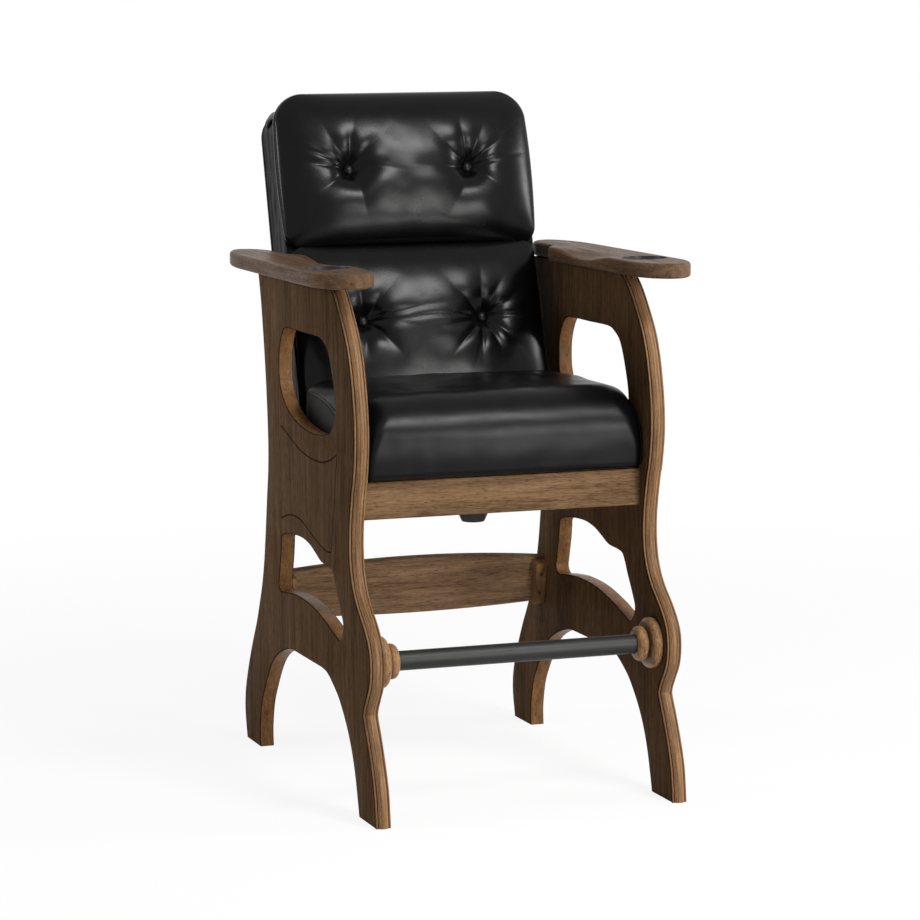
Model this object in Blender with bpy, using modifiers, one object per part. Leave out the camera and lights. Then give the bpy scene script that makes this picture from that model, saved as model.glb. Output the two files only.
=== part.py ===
"""Spectator bar stool: two pierced side panels with moulded front edges, broad arms with cup wells,
a foot rail, and a tufted seat and back that tip rearwards together against a tension spring.

Metres, +X to the right as seen from the front, +Y to the rear, +Z up, floor at z = 0.
"""
import math

import bmesh
import bpy
from mathutils import Vector

# Clearances
gap = 0.0003                    # between pieces that touch
running_gap = 0.0003            # around the pivot pin, the knob's bolt and the rail
overrun = 0.006                 # how far a cut runs past the face it starts from

# Whole stool
centre_shift = 0.0113           # brings the middle of the footprint to the origin
panel_height = 0.958
panel_depth = 0.844
panel_thickness = 0.0283
clear_half = 0.272              # half the clear width between the two panels

# Front moulding: a broad round between two narrow beads
moulding_rise = 0.0091
moulding_bead_rise = 0.0052
moulding_root = 0.0030
moulding_bead = 0.0042
moulding_overlength = 0.03

# Scored line on the outer face of each panel
score_width = 0.003
score_depth = 0.0012

# Arms
arm_thickness = 0.028
arm_easing = 0.003
arm_inner_half = 0.250
arm_outer_half = 0.366
arm_front = -0.3495
arm_rear = 0.358
arm_nose_inner = 0.095          # how far back the nose's rounding runs on the inner side
arm_nose_outer = 0.120
arm_tail_inner = 0.076
arm_tail_outer = 0.160
arm_ease_front = 0.165
arm_ease_rear = 0.205
scoop_front = -0.165
scoop_rear = 0.145
scoop_fall = 0.0135
scoop_reach = 0.034

# Cup wells
cup_x = 0.309
cup_y = -0.189
cup_radius = 0.0437
cup_depth = 0.020
cup_wall = 0.002
cup_lip = 0.0008

# Foot rail and its rosettes
rail_depth_share = -0.3898      # of panel_depth
rail_height_share = 0.2975      # of panel_height
rail_radius = 0.018
rail_wall = 0.002
rosette_length = 0.041
rosette_big_radius = 0.0475
rosette_small_radius = 0.0325
rosette_neck_radius = 0.0300

# Front apron
apron_front = -0.258
apron_thickness = 0.020
apron_bottom = 0.5325
apron_height = 0.069

# Lower rear stretcher, leaning forward, held by an upright cleat at each end
stretcher_depth_share = 0.30865   # front face at mid height, of panel_depth
stretcher_height_share = 0.3262   # of panel_height
stretcher_lean = math.radians(14.6)
stretcher_height = 0.094
stretcher_thickness = 0.019
stretcher_rise = 0.0145
stretcher_fall = 0.0095
cleat_width = 0.022
cleat_depth = 0.023
cleat_height = 0.088
cleat_screw_spacing = 0.040
screw_head_radius = 0.003
screw_head_height = 0.0025
screw_shank_radius = 0.002
screw_length = 0.034
screw_sink = 0.001

# Board and side cleats that carry the tilt mechanism
mount_board_rear = 0.100
mount_board_thickness = 0.015
mount_opening_half = 0.034
mount_opening_front = -0.141
mount_opening_rear = -0.060
seat_cleat_width = 0.022
seat_cleat_height = 0.022

# Tilt mechanism
pivot_y = -0.020
pivot_z = 0.566
pivot_radius = 0.004
pivot_head_radius = 0.0065
pivot_head_length = 0.0025
plate_steel = 0.003
base_half = 0.040
base_front = -0.165
base_rear = 0.060
base_ear_half = 0.028
base_ear_top = 0.0085           # above the pivot
base_bolt_front = -0.153
base_bolt_rear = 0.045
base_bolt_x = 0.027
base_bolt_radius = 0.003
base_bolt_head_radius = 0.006
base_bolt_head = 0.0025
seat_plate_half = 0.100
seat_plate_front = -0.130
seat_plate_rear = 0.045
seat_ear_half = 0.022
seat_ear_drop = 0.0095          # below the pivot
plate_screw_x = 0.085
plate_screw_front = -0.110
plate_screw_rear = 0.030
plate_screw_radius = 0.002
plate_screw_head_radius = 0.0045
plate_screw_head = 0.002
plate_screw_length = 0.014
tension_y = -0.096
tension_bolt_radius = 0.005
tension_head_radius = 0.0095
tension_head_height = 0.006
tension_slot_front = -0.1135
tension_slot_rear = -0.0880
knob_bottom = 0.4945
knob_height = 0.0280
knob_top_radius = 0.0285
knob_foot_radius = 0.0215
knob_flare_height = 0.0155
knob_chamfer = 0.001
knob_well_radius = 0.022
knob_floor = 0.0105
knob_bore_floor = 0.003
spring_radius = 0.0145
spring_wire_radius = 0.0022
spring_turns = 5
spring_points_a_turn = 8

# Seat
seat_board_half = 0.245
seat_board_thickness = 0.018
seat_board_rear = 0.140
seat_board_front_gap = 0.004    # behind the apron
cushion_bottom = 0.6045
cushion_half = 0.268
cushion_front = -0.276
cushion_height = 0.143
cushion_crown = 0.012
cushion_front_bulge = 0.007
cushion_side_bulge = 0.004
cushion_side_draw = 0.005

# Back, drawn in its own leaning frame whose origin is on the front welt of the boxing
back_foot_y = 0.1528
back_foot_z = 0.620
back_recline = math.radians(15.75)
back_half = 0.254
back_height = 0.678
back_core_depth = 0.100
back_corner = 0.032
back_easing = 0.005
rear_panel_inset = 0.006
rear_panel_depth = 0.012
rear_panel_easing = 0.003
lower_pillow_foot = 0.016
pillow_split = 0.3850
pillow_top = 0.6870
pillow_half = 0.2535
pillow_top_corner = 0.040       # how far the outline's rounding reaches at the upper corners
pillow_corner = 0.024           # and at the others
pillow_edge_depth = 0.022
pillow_crown = 0.040
pillow_bulge = 0.0075
tuft_x = 0.122
upper_tuft_height = 0.532
lower_tuft_height = 0.232
tuft_depth = 0.034
tuft_spread = 0.052
button_radius = 0.011
button_height = 0.008
button_seat = 0.0225            # depth of the button's back in front of the welt
seat_to_back = 0.0630           # the seat's rear face lies this far in front of the welt

# Steel straps that carry the back on the seat board
strap_x = 0.160
strap_width = 0.030
strap_steel = 0.004
strap_front = 0.050
strap_back_depth = 0.046
strap_top = 0.180
strap_bolt_y = 0.105
strap_bolt_radius = 0.003
strap_bolt_head_radius = 0.006
strap_bolt_head = 0.0025
strap_bolt_length = 0.014

# Outlines of the side panel, as shares of panel_depth (rearwards) and panel_height (upwards)
front_edge_shares = [
    (-0.487, 0.000), (-0.474, 0.073), (-0.437, 0.148), (-0.409, 0.193), (-0.409, 0.210), (-0.424, 0.231),
    (-0.449, 0.264), (-0.457, 0.299), (-0.449, 0.332), (-0.418, 0.365), (-0.361, 0.407), (-0.331, 0.447),
    (-0.319, 0.491), (-0.320, 0.543), (-0.338, 0.612), (-0.351, 0.644), (-0.363, 0.707), (-0.359, 0.767),
    (-0.342, 0.833), (-0.318, 0.884), (-0.284, 0.925), (-0.236, 0.971), (-0.190, 1.000),
]
rear_edge_shares = [
    (0.355, 1.000), (0.332, 0.931), (0.315, 0.856), (0.303, 0.791), (0.295, 0.733), (0.288, 0.652),
    (0.291, 0.590), (0.305, 0.527), (0.318, 0.465), (0.333, 0.402), (0.352, 0.350), (0.376, 0.306),
    (0.404, 0.261), (0.447, 0.205), (0.481, 0.154), (0.504, 0.111), (0.513, 0.078), (0.512, 0.047),
    (0.499, 0.000),
]
arch_rear_shares = [
    (0.387, 0.000), (0.389, 0.031), (0.383, 0.063), (0.368, 0.100), (0.338, 0.137), (0.302, 0.175),
    (0.263, 0.204), (0.214, 0.225), (0.149, 0.242), (0.107, 0.246),
]
arch_front_shares = [
    (-0.107, 0.246), (-0.153, 0.241), (-0.205, 0.221), (-0.249, 0.196), (-0.305, 0.145), (-0.344, 0.084),
    (-0.374, 0.000),
]
upper_hole_shares = [
    (0.118, 0.890), (0.000, 0.890), (-0.113, 0.890), (-0.153, 0.882), (-0.190, 0.861), (-0.222, 0.806),
    (-0.236, 0.765), (-0.230, 0.745), (-0.195, 0.715), (-0.145, 0.705), (-0.065, 0.699), (0.028, 0.705),
    (0.086, 0.716), (0.128, 0.729), (0.164, 0.749), (0.186, 0.773), (0.193, 0.801), (0.190, 0.835),
    (0.175, 0.864), (0.154, 0.883),
]
lower_hole_shares = [
    (0.187, 0.466), (0.152, 0.475), (0.095, 0.481), (0.026, 0.483), (-0.030, 0.477), (-0.073, 0.466),
    (-0.117, 0.454), (-0.173, 0.451), (-0.204, 0.444), (-0.231, 0.410), (-0.257, 0.378), (-0.274, 0.351),
    (-0.263, 0.330), (-0.244, 0.319), (-0.206, 0.326), (-0.140, 0.342), (-0.038, 0.358), (0.071, 0.362),
    (0.158, 0.356), (0.199, 0.352), (0.216, 0.364), (0.211, 0.384), (0.198, 0.423), (0.192, 0.451),
]
score_top_shares = [
    (0.182, 0.691), (0.098, 0.671), (0.030, 0.656), (-0.051, 0.649), (-0.132, 0.650), (-0.198, 0.662),
    (-0.241, 0.676),
]
score_front_shares = [(-0.241, 0.676), (-0.220, 0.585), (-0.206, 0.538), (-0.193, 0.482)]
score_bottom_shares = [
    (-0.193, 0.482), (-0.150, 0.481), (-0.098, 0.489), (-0.044, 0.500), (0.024, 0.516), (0.078, 0.520),
    (0.130, 0.516), (0.187, 0.503),
]

# Rosette's outer side from the panel inwards, as shares of its length and of its two radii
rosette_big_shares = [(0.0, 0.93), (0.08, 0.98), (0.22, 1.0), (0.36, 0.97), (0.46, 0.88), (0.50, 0.76)]
rosette_small_shares = [(0.55, 0.93), (0.66, 1.0), (0.80, 0.98), (0.92, 0.89), (1.0, 0.72)]

# Colours
wood_outer_colour = (0.083, 0.055, 0.040)
wood_front_colour = (0.205, 0.125, 0.068)
wood_edge_colour = (0.290, 0.155, 0.072)
wood_arm_colour = (0.150, 0.112, 0.085)
leather_colour = (0.010, 0.010, 0.011)
rail_colour = (0.018, 0.018, 0.017)
steel_colour = (0.120, 0.120, 0.125)
liner_colour = (0.020, 0.021, 0.023)

for old in list(bpy.data.objects):
    bpy.data.objects.remove(old, do_unlink=True)

stool_collection = bpy.data.collections.new("spectator_bar_stool")
bpy.context.scene.collection.children.link(stool_collection)
cutter_collection = bpy.data.collections.new("cutters")
bpy.context.scene.collection.children.link(cutter_collection)


def finish(name, colour, roughness, metallic=0.0):
    """A plain surface: colour, roughness and metallic value."""
    material = bpy.data.materials.new(name)
    material.use_nodes = True
    shader = material.node_tree.nodes["Principled BSDF"]
    shader.inputs["Base Color"].default_value = (*colour, 1.0)
    shader.inputs["Roughness"].default_value = roughness
    shader.inputs["Metallic"].default_value = metallic
    return material


def holder(name, parent=None, place=(0, 0, 0), turn=(0, 0, 0)):
    """An empty that carries other pieces."""
    empty = bpy.data.objects.new(name, None)
    stool_collection.objects.link(empty)
    empty.parent = parent
    empty.location = place
    empty.rotation_euler = turn
    return empty


def piece(name, mesh, material, parent, place=(0, 0, 0), turn=(0, 0, 0)):
    """A named piece of the stool at a place in its holder's frame."""
    item = bpy.data.objects.new(name, mesh)
    stool_collection.objects.link(item)
    mesh.materials.clear()
    mesh.materials.append(material)
    item.parent = parent
    item.location = place
    item.rotation_euler = turn
    return item


def cutter(name, mesh, parent, place=(0, 0, 0), turn=(0, 0, 0)):
    """A shape that only cuts other pieces."""
    item = bpy.data.objects.new(name, mesh)
    cutter_collection.objects.link(item)
    item.parent = parent
    item.location = place
    item.rotation_euler = turn
    item.hide_render = True
    item.display_type = "WIRE"
    return item


def cut(item, tool):
    """Take the cutter's shape out of a piece."""
    step = item.modifiers.new("cut " + tool.name, "BOOLEAN")
    step.operation = "DIFFERENCE"
    step.solver = "EXACT"
    step.object = tool


def add(item, tool):
    """Join another shape to a piece."""
    step = item.modifiers.new("join " + tool.name, "BOOLEAN")
    step.operation = "UNION"
    step.solver = "EXACT"
    step.object = tool


def box_mesh(name, low, high):
    """A box between two corners."""
    mesh = bpy.data.meshes.new(name)
    shape = bmesh.new()
    bmesh.ops.create_cube(shape, size=1.0)
    for vertex in shape.verts:
        for axis in range(3):
            middle = (low[axis] + high[axis]) / 2
            vertex.co[axis] = middle + vertex.co[axis] * (high[axis] - low[axis])
    shape.to_mesh(mesh)
    shape.free()
    return mesh


def rod_mesh(name, radius, start, end, sides=24):
    """A cylinder along Z between two heights."""
    mesh = bpy.data.meshes.new(name)
    shape = bmesh.new()
    bmesh.ops.create_cone(
        shape, cap_ends=True, segments=sides, radius1=radius, radius2=radius, depth=end - start
    )
    for vertex in shape.verts:
        vertex.co.z += (start + end) / 2
    shape.to_mesh(mesh)
    shape.free()
    mesh.shade_smooth()
    mesh.set_sharp_from_angle(angle=math.radians(40))
    return mesh


def turned_mesh(name, profile, steps=28, closed=False):
    """A shape turned about Z from (radius, height) points that run down its outer side."""
    mesh = bpy.data.meshes.new(name)
    shape = bmesh.new()
    corners = [shape.verts.new((radius, 0, height)) for radius, height in profile]
    for first, second in zip(corners, corners[1:]):
        shape.edges.new((first, second))
    if closed:
        shape.edges.new((corners[-1], corners[0]))
    shape.to_mesh(mesh)
    shape.free()
    lathe = bpy.data.objects.new(name, mesh)
    cutter_collection.objects.link(lathe)
    screw = lathe.modifiers.new("turn", "SCREW")
    screw.steps = steps
    screw.render_steps = steps
    screw.use_merge_vertices = True
    screw.merge_threshold = 0.00001
    result = evaluated_mesh(lathe, name)
    result.shade_smooth()
    result.set_sharp_from_angle(angle=math.radians(35))
    return result


def evaluated_mesh(item, name):
    """The mesh of an object with its modifiers or its curve worked out; the object itself goes."""
    bpy.context.view_layer.update()
    graph = bpy.context.evaluated_depsgraph_get()
    mesh = bpy.data.meshes.new_from_object(item.evaluated_get(graph))
    mesh.name = name
    bpy.data.objects.remove(item, do_unlink=True)
    shape = bmesh.new()
    shape.from_mesh(mesh)
    bmesh.ops.remove_doubles(shape, verts=shape.verts, dist=0.000005)
    shape.to_mesh(mesh)
    shape.free()
    return mesh


def slab_mesh(name, loops, thickness, easing=0.0):
    """A flat board from closed outlines, the first one outside and the others holes."""
    curve = bpy.data.curves.new(name, "CURVE")
    curve.dimensions = "2D"
    curve.fill_mode = "BOTH"
    curve.extrude = thickness / 2 - easing
    curve.bevel_depth = easing
    curve.offset = -easing
    curve.bevel_resolution = 1
    for loop in loops:
        spline = curve.splines.new("POLY")
        spline.points.add(len(loop) - 1)
        for point, (across, up) in zip(spline.points, loop):
            point.co = (across, up, 0, 1)
        spline.use_cyclic_u = True
    item = bpy.data.objects.new(name, curve)
    cutter_collection.objects.link(item)
    return evaluated_mesh(item, name)


def tube_mesh(name, route, radius, fineness=1):
    """A round wire along a route, with its ends closed."""
    curve = bpy.data.curves.new(name, "CURVE")
    curve.dimensions = "3D"
    curve.bevel_depth = radius
    curve.bevel_resolution = fineness
    curve.use_fill_caps = True
    spline = curve.splines.new("POLY")
    spline.points.add(len(route) - 1)
    for point, place in zip(spline.points, route):
        point.co = (*place, 1)
    item = bpy.data.objects.new(name, curve)
    cutter_collection.objects.link(item)
    return evaluated_mesh(item, name)


def flowing(points, steps=2, closed=False):
    """A smooth line through points, each span cut into equal steps."""
    line = []
    count = len(points)
    spans = count if closed else count - 1
    for index in range(spans):
        near = []
        for offset in (-1, 0, 1, 2):
            place = index + offset
            if closed:
                near.append(Vector(points[place % count]))
            else:
                near.append(Vector(points[min(max(place, 0), count - 1)]))
        before, start, end, after = near
        for step in range(steps):
            t = step / steps
            line.append(
                0.5 * (2 * start + (end - before) * t
                       + (2 * before - 5 * start + 4 * end - after) * t ** 2
                       + (3 * start - before - 3 * end + after) * t ** 3)
            )
    if not closed:
        line.append(Vector(points[-1]))
    return [tuple(point) for point in line]


def panel_points(shares):
    """Panel outline shares as sizes."""
    return [(across * panel_depth, up * panel_height) for across, up in shares]


def offset_loop(loop, distance):
    """A closed outline moved sideways by a distance, its corners kept sharp."""
    moved = []
    count = len(loop)
    for index in range(count):
        point = Vector(loop[index])
        ahead = (Vector(loop[(index + 1) % count]) - point).normalized()
        behind = (point - Vector(loop[index - 1])).normalized()
        side = Vector((ahead.y + behind.y, -ahead.x - behind.x)).normalized()
        stretch = max(side.dot(Vector((ahead.y, -ahead.x))), 0.5)
        moved.append(tuple(point + side * (distance / stretch)))
    return moved


def arc(centre, radii, start, end, steps):
    """Points along an elliptical arc, its angles in degrees."""
    points = []
    for step in range(steps + 1):
        angle = math.radians(start + (end - start) * step / steps)
        points.append((centre[0] + radii[0] * math.cos(angle), centre[1] + radii[1] * math.sin(angle)))
    return points


def padded_mesh(name, across_shares, up_shares, deep_shares, form):
    """A cube cut along the given shares, then moved to its form, as the cage of a soft piece."""
    mesh = bpy.data.meshes.new(name)
    shape = bmesh.new()
    bmesh.ops.create_cube(shape, size=2.0)
    for axis, shares in ((0, across_shares), (1, up_shares), (2, deep_shares)):
        for share in shares:
            normal = Vector((0, 0, 0))
            normal[axis] = 1
            everything = shape.verts[:] + shape.edges[:] + shape.faces[:]
            bmesh.ops.bisect_plane(shape, geom=everything, plane_co=normal * share, plane_no=normal)
    for vertex in shape.verts:
        vertex.co = form(*vertex.co)
    bmesh.ops.recalc_face_normals(shape, faces=shape.faces)
    shape.to_mesh(mesh)
    shape.free()
    mesh.shade_smooth()
    return mesh


def soften(item):
    """Round a cage into its soft form."""
    step = item.modifiers.new("soften", "SUBSURF")
    step.levels = 1
    step.render_levels = 1


def mirrored(mesh, name):
    """The same mesh for the other side of the stool."""
    other = mesh.copy()
    other.name = name
    shape = bmesh.new()
    shape.from_mesh(other)
    for vertex in shape.verts:
        vertex.co.x = -vertex.co.x
    bmesh.ops.reverse_faces(shape, faces=shape.faces)
    shape.to_mesh(other)
    shape.free()
    return other


side_view = (math.radians(90), 0, math.radians(90))      # outline rearwards and up, thickness along X
front_view = (math.radians(90), 0, 0)                     # outline sideways and up, thickness along Y
sideways = (0, math.radians(90), 0)                       # turned axis along +X
rearwards = (math.radians(-90), 0, 0)                     # turned axis along +Y

wood_outer = finish("walnut_outer_faces", wood_outer_colour, 0.5)
wood_front = finish("walnut_front_rails", wood_front_colour, 0.5)
wood_edge = finish("walnut_mouldings", wood_edge_colour, 0.4)
wood_arm = finish("walnut_arms", wood_arm_colour, 0.45)
wood_hidden = finish("plywood", wood_front_colour, 0.7)
leather = finish("leather", leather_colour, 0.32)
rail_steel = finish("black_steel", rail_colour, 0.35, 0.6)
bare_steel = finish("zinc_steel", steel_colour, 0.4, 1.0)
black_plastic = finish("black_plastic", liner_colour, 0.35)

stool = holder("stool", place=(0, -centre_shift, 0))

# Side panels, each one board with two openings and a leg arch
panel_outline = (
    flowing(panel_points(front_edge_shares))
    + flowing(panel_points(rear_edge_shares))
    + flowing(panel_points(arch_rear_shares))
    + flowing(panel_points(arch_front_shares))
)
upper_hole = flowing(panel_points(upper_hole_shares), closed=True)
lower_hole = flowing(panel_points(lower_hole_shares), closed=True)
score_line = (
    flowing(panel_points(score_top_shares))[:-1]
    + flowing(panel_points(score_front_shares), steps=1)[:-1]
    + flowing(panel_points(score_bottom_shares))
)
score_loops = [offset_loop(score_line, score_width / 2), offset_loop(score_line, -score_width / 2)]
for side, side_name in ((-1, "left"), (1, "right")):
    middle_x = side * (clear_half + panel_thickness / 2)
    panel_mesh = slab_mesh("panel", [panel_outline, upper_hole, lower_hole], panel_thickness)
    panel = piece(side_name + "_side_panel", panel_mesh, wood_outer, stool, (middle_x, 0, 0), side_view)
    score_mesh = slab_mesh("score", score_loops, score_depth * 2)
    outer_x = side * (clear_half + panel_thickness)
    cut(panel, cutter(side_name + "_score", score_mesh, stool, (outer_x, 0, 0), side_view))

# Front mouldings, swept up the panels' front edges and cut level at the floor and under the arms
round_half = panel_thickness / 2 - moulding_bead
bead_middle = panel_thickness / 2 - moulding_bead / 2
moulding_section = [(gap, -panel_thickness / 2), (moulding_root, -panel_thickness / 2)]
moulding_section += [(moulding_bead_rise, -bead_middle), (moulding_root, -round_half)]
for angle in (32, 70, 110, 148):
    swing = math.radians(angle)
    moulding_section.append((
        moulding_root + (moulding_rise - moulding_root) * math.sin(swing),
        -round_half * math.cos(swing),
    ))
moulding_section += [(moulding_root, round_half), (moulding_bead_rise, bead_middle)]
moulding_section += [(moulding_root, panel_thickness / 2), (gap, panel_thickness / 2)]
moulding_line = flowing(panel_points(front_edge_shares))
foot_run = (Vector(moulding_line[0]) - Vector(moulding_line[1])).normalized() * moulding_overlength
head_run = (Vector(moulding_line[-1]) - Vector(moulding_line[-2])).normalized() * moulding_overlength
moulding_route = [tuple(Vector(moulding_line[0]) + foot_run)] + moulding_line
moulding_route += [tuple(Vector(moulding_line[-1]) + head_run)]


def moulding_mesh(name):
    """The moulding's section swept along the panel's front edge."""
    section = bpy.data.curves.new(name + "_section", "CURVE")
    section.dimensions = "2D"
    outline = section.splines.new("POLY")
    outline.points.add(len(moulding_section) - 1)
    for point, (forward, across) in zip(outline.points, moulding_section):
        point.co = (-forward, across, 0, 1)
    outline.use_cyclic_u = True
    section_item = bpy.data.objects.new(name + "_section", section)
    cutter_collection.objects.link(section_item)
    route = bpy.data.curves.new(name, "CURVE")
    route.dimensions = "2D"
    route.fill_mode = "NONE"
    route.bevel_mode = "OBJECT"
    route.bevel_object = section_item
    route.use_fill_caps = True
    spline = route.splines.new("POLY")
    spline.points.add(len(moulding_route) - 1)
    for point, (across, up) in zip(spline.points, moulding_route):
        point.co = (across, up, 0, 1)
    item = bpy.data.objects.new(name, route)
    cutter_collection.objects.link(item)
    mesh = evaluated_mesh(item, name)
    bpy.data.objects.remove(section_item, do_unlink=True)
    shape = bmesh.new()
    shape.from_mesh(mesh)
    for height, upward in ((0, -1), (panel_height, 1)):
        everything = shape.verts[:] + shape.edges[:] + shape.faces[:]
        bmesh.ops.bisect_plane(
            shape, geom=everything, plane_co=(0, height, 0), plane_no=(0, upward, 0), clear_outer=True
        )
        bmesh.ops.holes_fill(shape, edges=shape.edges[:], sides=0)
    bmesh.ops.recalc_face_normals(shape, faces=shape.faces)
    shape.to_mesh(mesh)
    shape.free()
    mesh.shade_smooth()
    mesh.set_sharp_from_angle(angle=math.radians(35))
    return mesh


for side, side_name in ((-1, "left"), (1, "right")):
    middle_x = side * (clear_half + panel_thickness / 2)
    name = side_name + "_front_moulding"
    piece(name, moulding_mesh(name), wood_edge, stool, (middle_x, 0, 0), side_view)

# Arms: broad boards with a round nose, a blind cup well and a scoop along the inner edge
arm_bottom = panel_height + gap
arm_top = arm_bottom + arm_thickness
tail_inner_x = clear_half
tail_half = (arm_outer_half - tail_inner_x) / 2
tail_middle = (arm_outer_half + tail_inner_x) / 2
nose_half = (arm_outer_half - arm_inner_half) / 2
nose_middle = (arm_outer_half + arm_inner_half) / 2
arm_outline = (
    arc((tail_middle, arm_rear - arm_tail_outer), (tail_half, arm_tail_outer), 0, 90, 8)
    + arc((tail_middle, arm_rear - arm_tail_inner), (tail_half, arm_tail_inner), 90, 180, 7)[1:]
    + flowing([
        (tail_inner_x, arm_ease_rear),
        ((arm_inner_half * 3 + tail_inner_x * 7) / 10, (arm_ease_rear * 3 + arm_ease_front) / 4),
        ((arm_inner_half * 9 + tail_inner_x) / 10, (arm_ease_rear + arm_ease_front * 3) / 4),
        (arm_inner_half, arm_ease_front - (arm_ease_rear - arm_ease_front) / 4),
    ])
    + arc((nose_middle, arm_front + arm_nose_inner), (nose_half, arm_nose_inner), 180, 270, 7)
    + arc((nose_middle, arm_front + arm_nose_outer), (nose_half, arm_nose_outer), 270, 360, 7)[1:]
)

# The scoop's floor, a bell curve seen from the side, falling towards the inner edge
scoop_slope = math.atan2(scoop_fall, scoop_reach)
scoop_middle = (scoop_front + scoop_rear) / 2
scoop_half = (scoop_rear - scoop_front) / 2
scoop_side = [(-scoop_half, overrun * 2)]
for step in range(17):
    share = step / 8 - 1
    scoop_side.append((
        share * scoop_half,
        -scoop_fall * math.cos(scoop_slope) * (1 + math.cos(math.pi * share)) / 2 + gap,
    ))
scoop_side.append((scoop_half, overrun * 2))
scoop_length = scoop_reach * 2 + overrun * 2

cup_profile = [
    (cup_radius - cup_wall, 0), (cup_radius - cup_wall / 2, cup_lip), (cup_radius, 0),
    (cup_radius, -cup_depth), (0, -cup_depth),
]
cup_inside = [(0, -cup_depth + cup_wall), (cup_radius - cup_wall * 2, -cup_depth + cup_wall),
              (cup_radius - cup_wall, -cup_depth + cup_wall * 2)]
for side, side_name in ((-1, "left"), (1, "right")):
    arm_mesh = slab_mesh("arm", [arm_outline], arm_thickness, arm_easing)
    if side < 0:
        arm_mesh = mirrored(arm_mesh, "arm_left")
    arm = piece(side_name + "_arm", arm_mesh, wood_arm, stool, (0, 0, arm_bottom + arm_thickness / 2))
    cup_top = arm_top
    well_mesh = rod_mesh("cup_well", cup_radius + gap, -cup_depth - gap, overrun, 32)
    cut(arm, cutter(side_name + "_cup_well", well_mesh, stool, (side * cup_x, cup_y, cup_top)))
    liner_mesh = turned_mesh("cup_liner", cup_inside + cup_profile, 28)
    piece(side_name + "_cup_liner", liner_mesh, black_plastic, stool, (side * cup_x, cup_y, cup_top))
    scoop_mesh = slab_mesh("scoop", [scoop_side], scoop_length)
    scoop = cutter(side_name + "_scoop", scoop_mesh, None)
    scoop_holder = holder(side_name + "_scoop_holder", stool, (side * arm_inner_half, scoop_middle, arm_top),
                          (0, -side * scoop_slope, 0))
    scoop.parent = scoop_holder
    scoop.rotation_euler = side_view
    cut(arm, scoop)

# Foot rail, an open tube whose ends sit in turned rosettes on the panels
rail_y = rail_depth_share * panel_depth
rail_z = rail_height_share * panel_height
rosette_profile = [(rail_radius + running_gap, 1.0)]
for along, out in reversed(rosette_small_shares):
    rosette_profile.append((rosette_small_radius * out, along))
rosette_profile.append((rosette_neck_radius, 0.52))
for along, out in reversed(rosette_big_shares):
    rosette_profile.append((rosette_big_radius * out, along))
rosette_profile.append((rail_radius + running_gap, 0.0))
rosette_profile = [(radius, along * (rosette_length - gap)) for radius, along in rosette_profile]
for side, side_name in ((-1, "left"), (1, "right")):
    rosette_mesh = turned_mesh("rosette", rosette_profile, 24, closed=True)
    face_x = side * (clear_half - gap)
    piece(side_name + "_rosette", rosette_mesh, wood_edge, stool, (face_x, rail_y, rail_z),
          (0, -side * math.radians(90), 0))
rail_half = clear_half - gap * 2
rail_profile = [
    (rail_radius - rail_wall, rail_half), (rail_radius, rail_half),
    (rail_radius, -rail_half), (rail_radius - rail_wall, -rail_half),
]
rail_mesh = turned_mesh("rail", rail_profile, 28, closed=True)
piece("foot_rail", rail_mesh, rail_steel, stool, (0, rail_y, rail_z), sideways)

# Front apron
board_half = clear_half - gap
apron_rear = apron_front + apron_thickness
apron_mesh = box_mesh("apron", (-board_half, apron_front, apron_bottom),
                      (board_half, apron_rear, apron_bottom + apron_height))
piece("front_apron", apron_mesh, wood_front, stool)

# Lower rear stretcher with bowed edges, its two cleats and their screws
stretcher_y = stretcher_depth_share * panel_depth
stretcher_z = stretcher_height_share * panel_height
stretcher = holder("stretcher_holder", stool, (0, stretcher_y, stretcher_z), (stretcher_lean, 0, 0))
bow_steps = 20
stretcher_outline = []
for step in range(bow_steps + 1):
    share = 1 - 2 * step / bow_steps
    stretcher_outline.append((share * board_half, stretcher_height / 2 + stretcher_rise * (1 - share ** 2)))
for step in range(bow_steps + 1):
    share = 2 * step / bow_steps - 1
    stretcher_outline.append((share * board_half, -stretcher_height / 2 - stretcher_fall * (1 - share ** 2)))
stretcher_board = piece("lower_stretcher", slab_mesh("stretcher", [stretcher_outline], stretcher_thickness),
                        wood_front, stretcher, (0, stretcher_thickness / 2, 0), front_view)
screw_profile = [
    (0, -screw_sink), (screw_head_radius, -screw_sink), (screw_head_radius, -screw_sink - screw_head_height),
    (screw_shank_radius, -screw_sink - screw_head_height), (screw_shank_radius, -screw_length),
    (0, -screw_length),
]
screw_room_profile = [
    (0, overrun), (screw_head_radius + gap, overrun),
    (screw_head_radius + gap, -screw_sink - screw_head_height - gap),
    (screw_shank_radius + gap, -screw_sink - screw_head_height - gap),
    (screw_shank_radius + gap, -screw_length - gap), (0, -screw_length - gap),
]
cleat_front = -gap - cleat_depth
for side, side_name in ((-1, "left"), (1, "right")):
    inner, outer = sorted((side * (board_half - cleat_width), side * board_half))
    cleat_mesh = box_mesh("cleat", (inner, cleat_front, -cleat_height / 2), (outer, -gap, cleat_height / 2))
    cleat = piece(side_name + "_stretcher_cleat", cleat_mesh, wood_edge, stretcher)
    for level, level_name in ((1, "upper"), (-1, "lower")):
        screw_place = (side * (board_half - cleat_width / 2), cleat_front, level * cleat_screw_spacing / 2)
        screw_name = side_name + "_" + level_name + "_cleat_screw"
        facing = (math.radians(90), 0, 0)
        room = cutter(screw_name + "_room", turned_mesh("screw_room", screw_room_profile, 12), stretcher,
                      screw_place, facing)
        cut(cleat, room)
        cut(stretcher_board, room)
        piece(screw_name, turned_mesh("screw", screw_profile, 12), bare_steel, stretcher, screw_place, facing)

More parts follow.
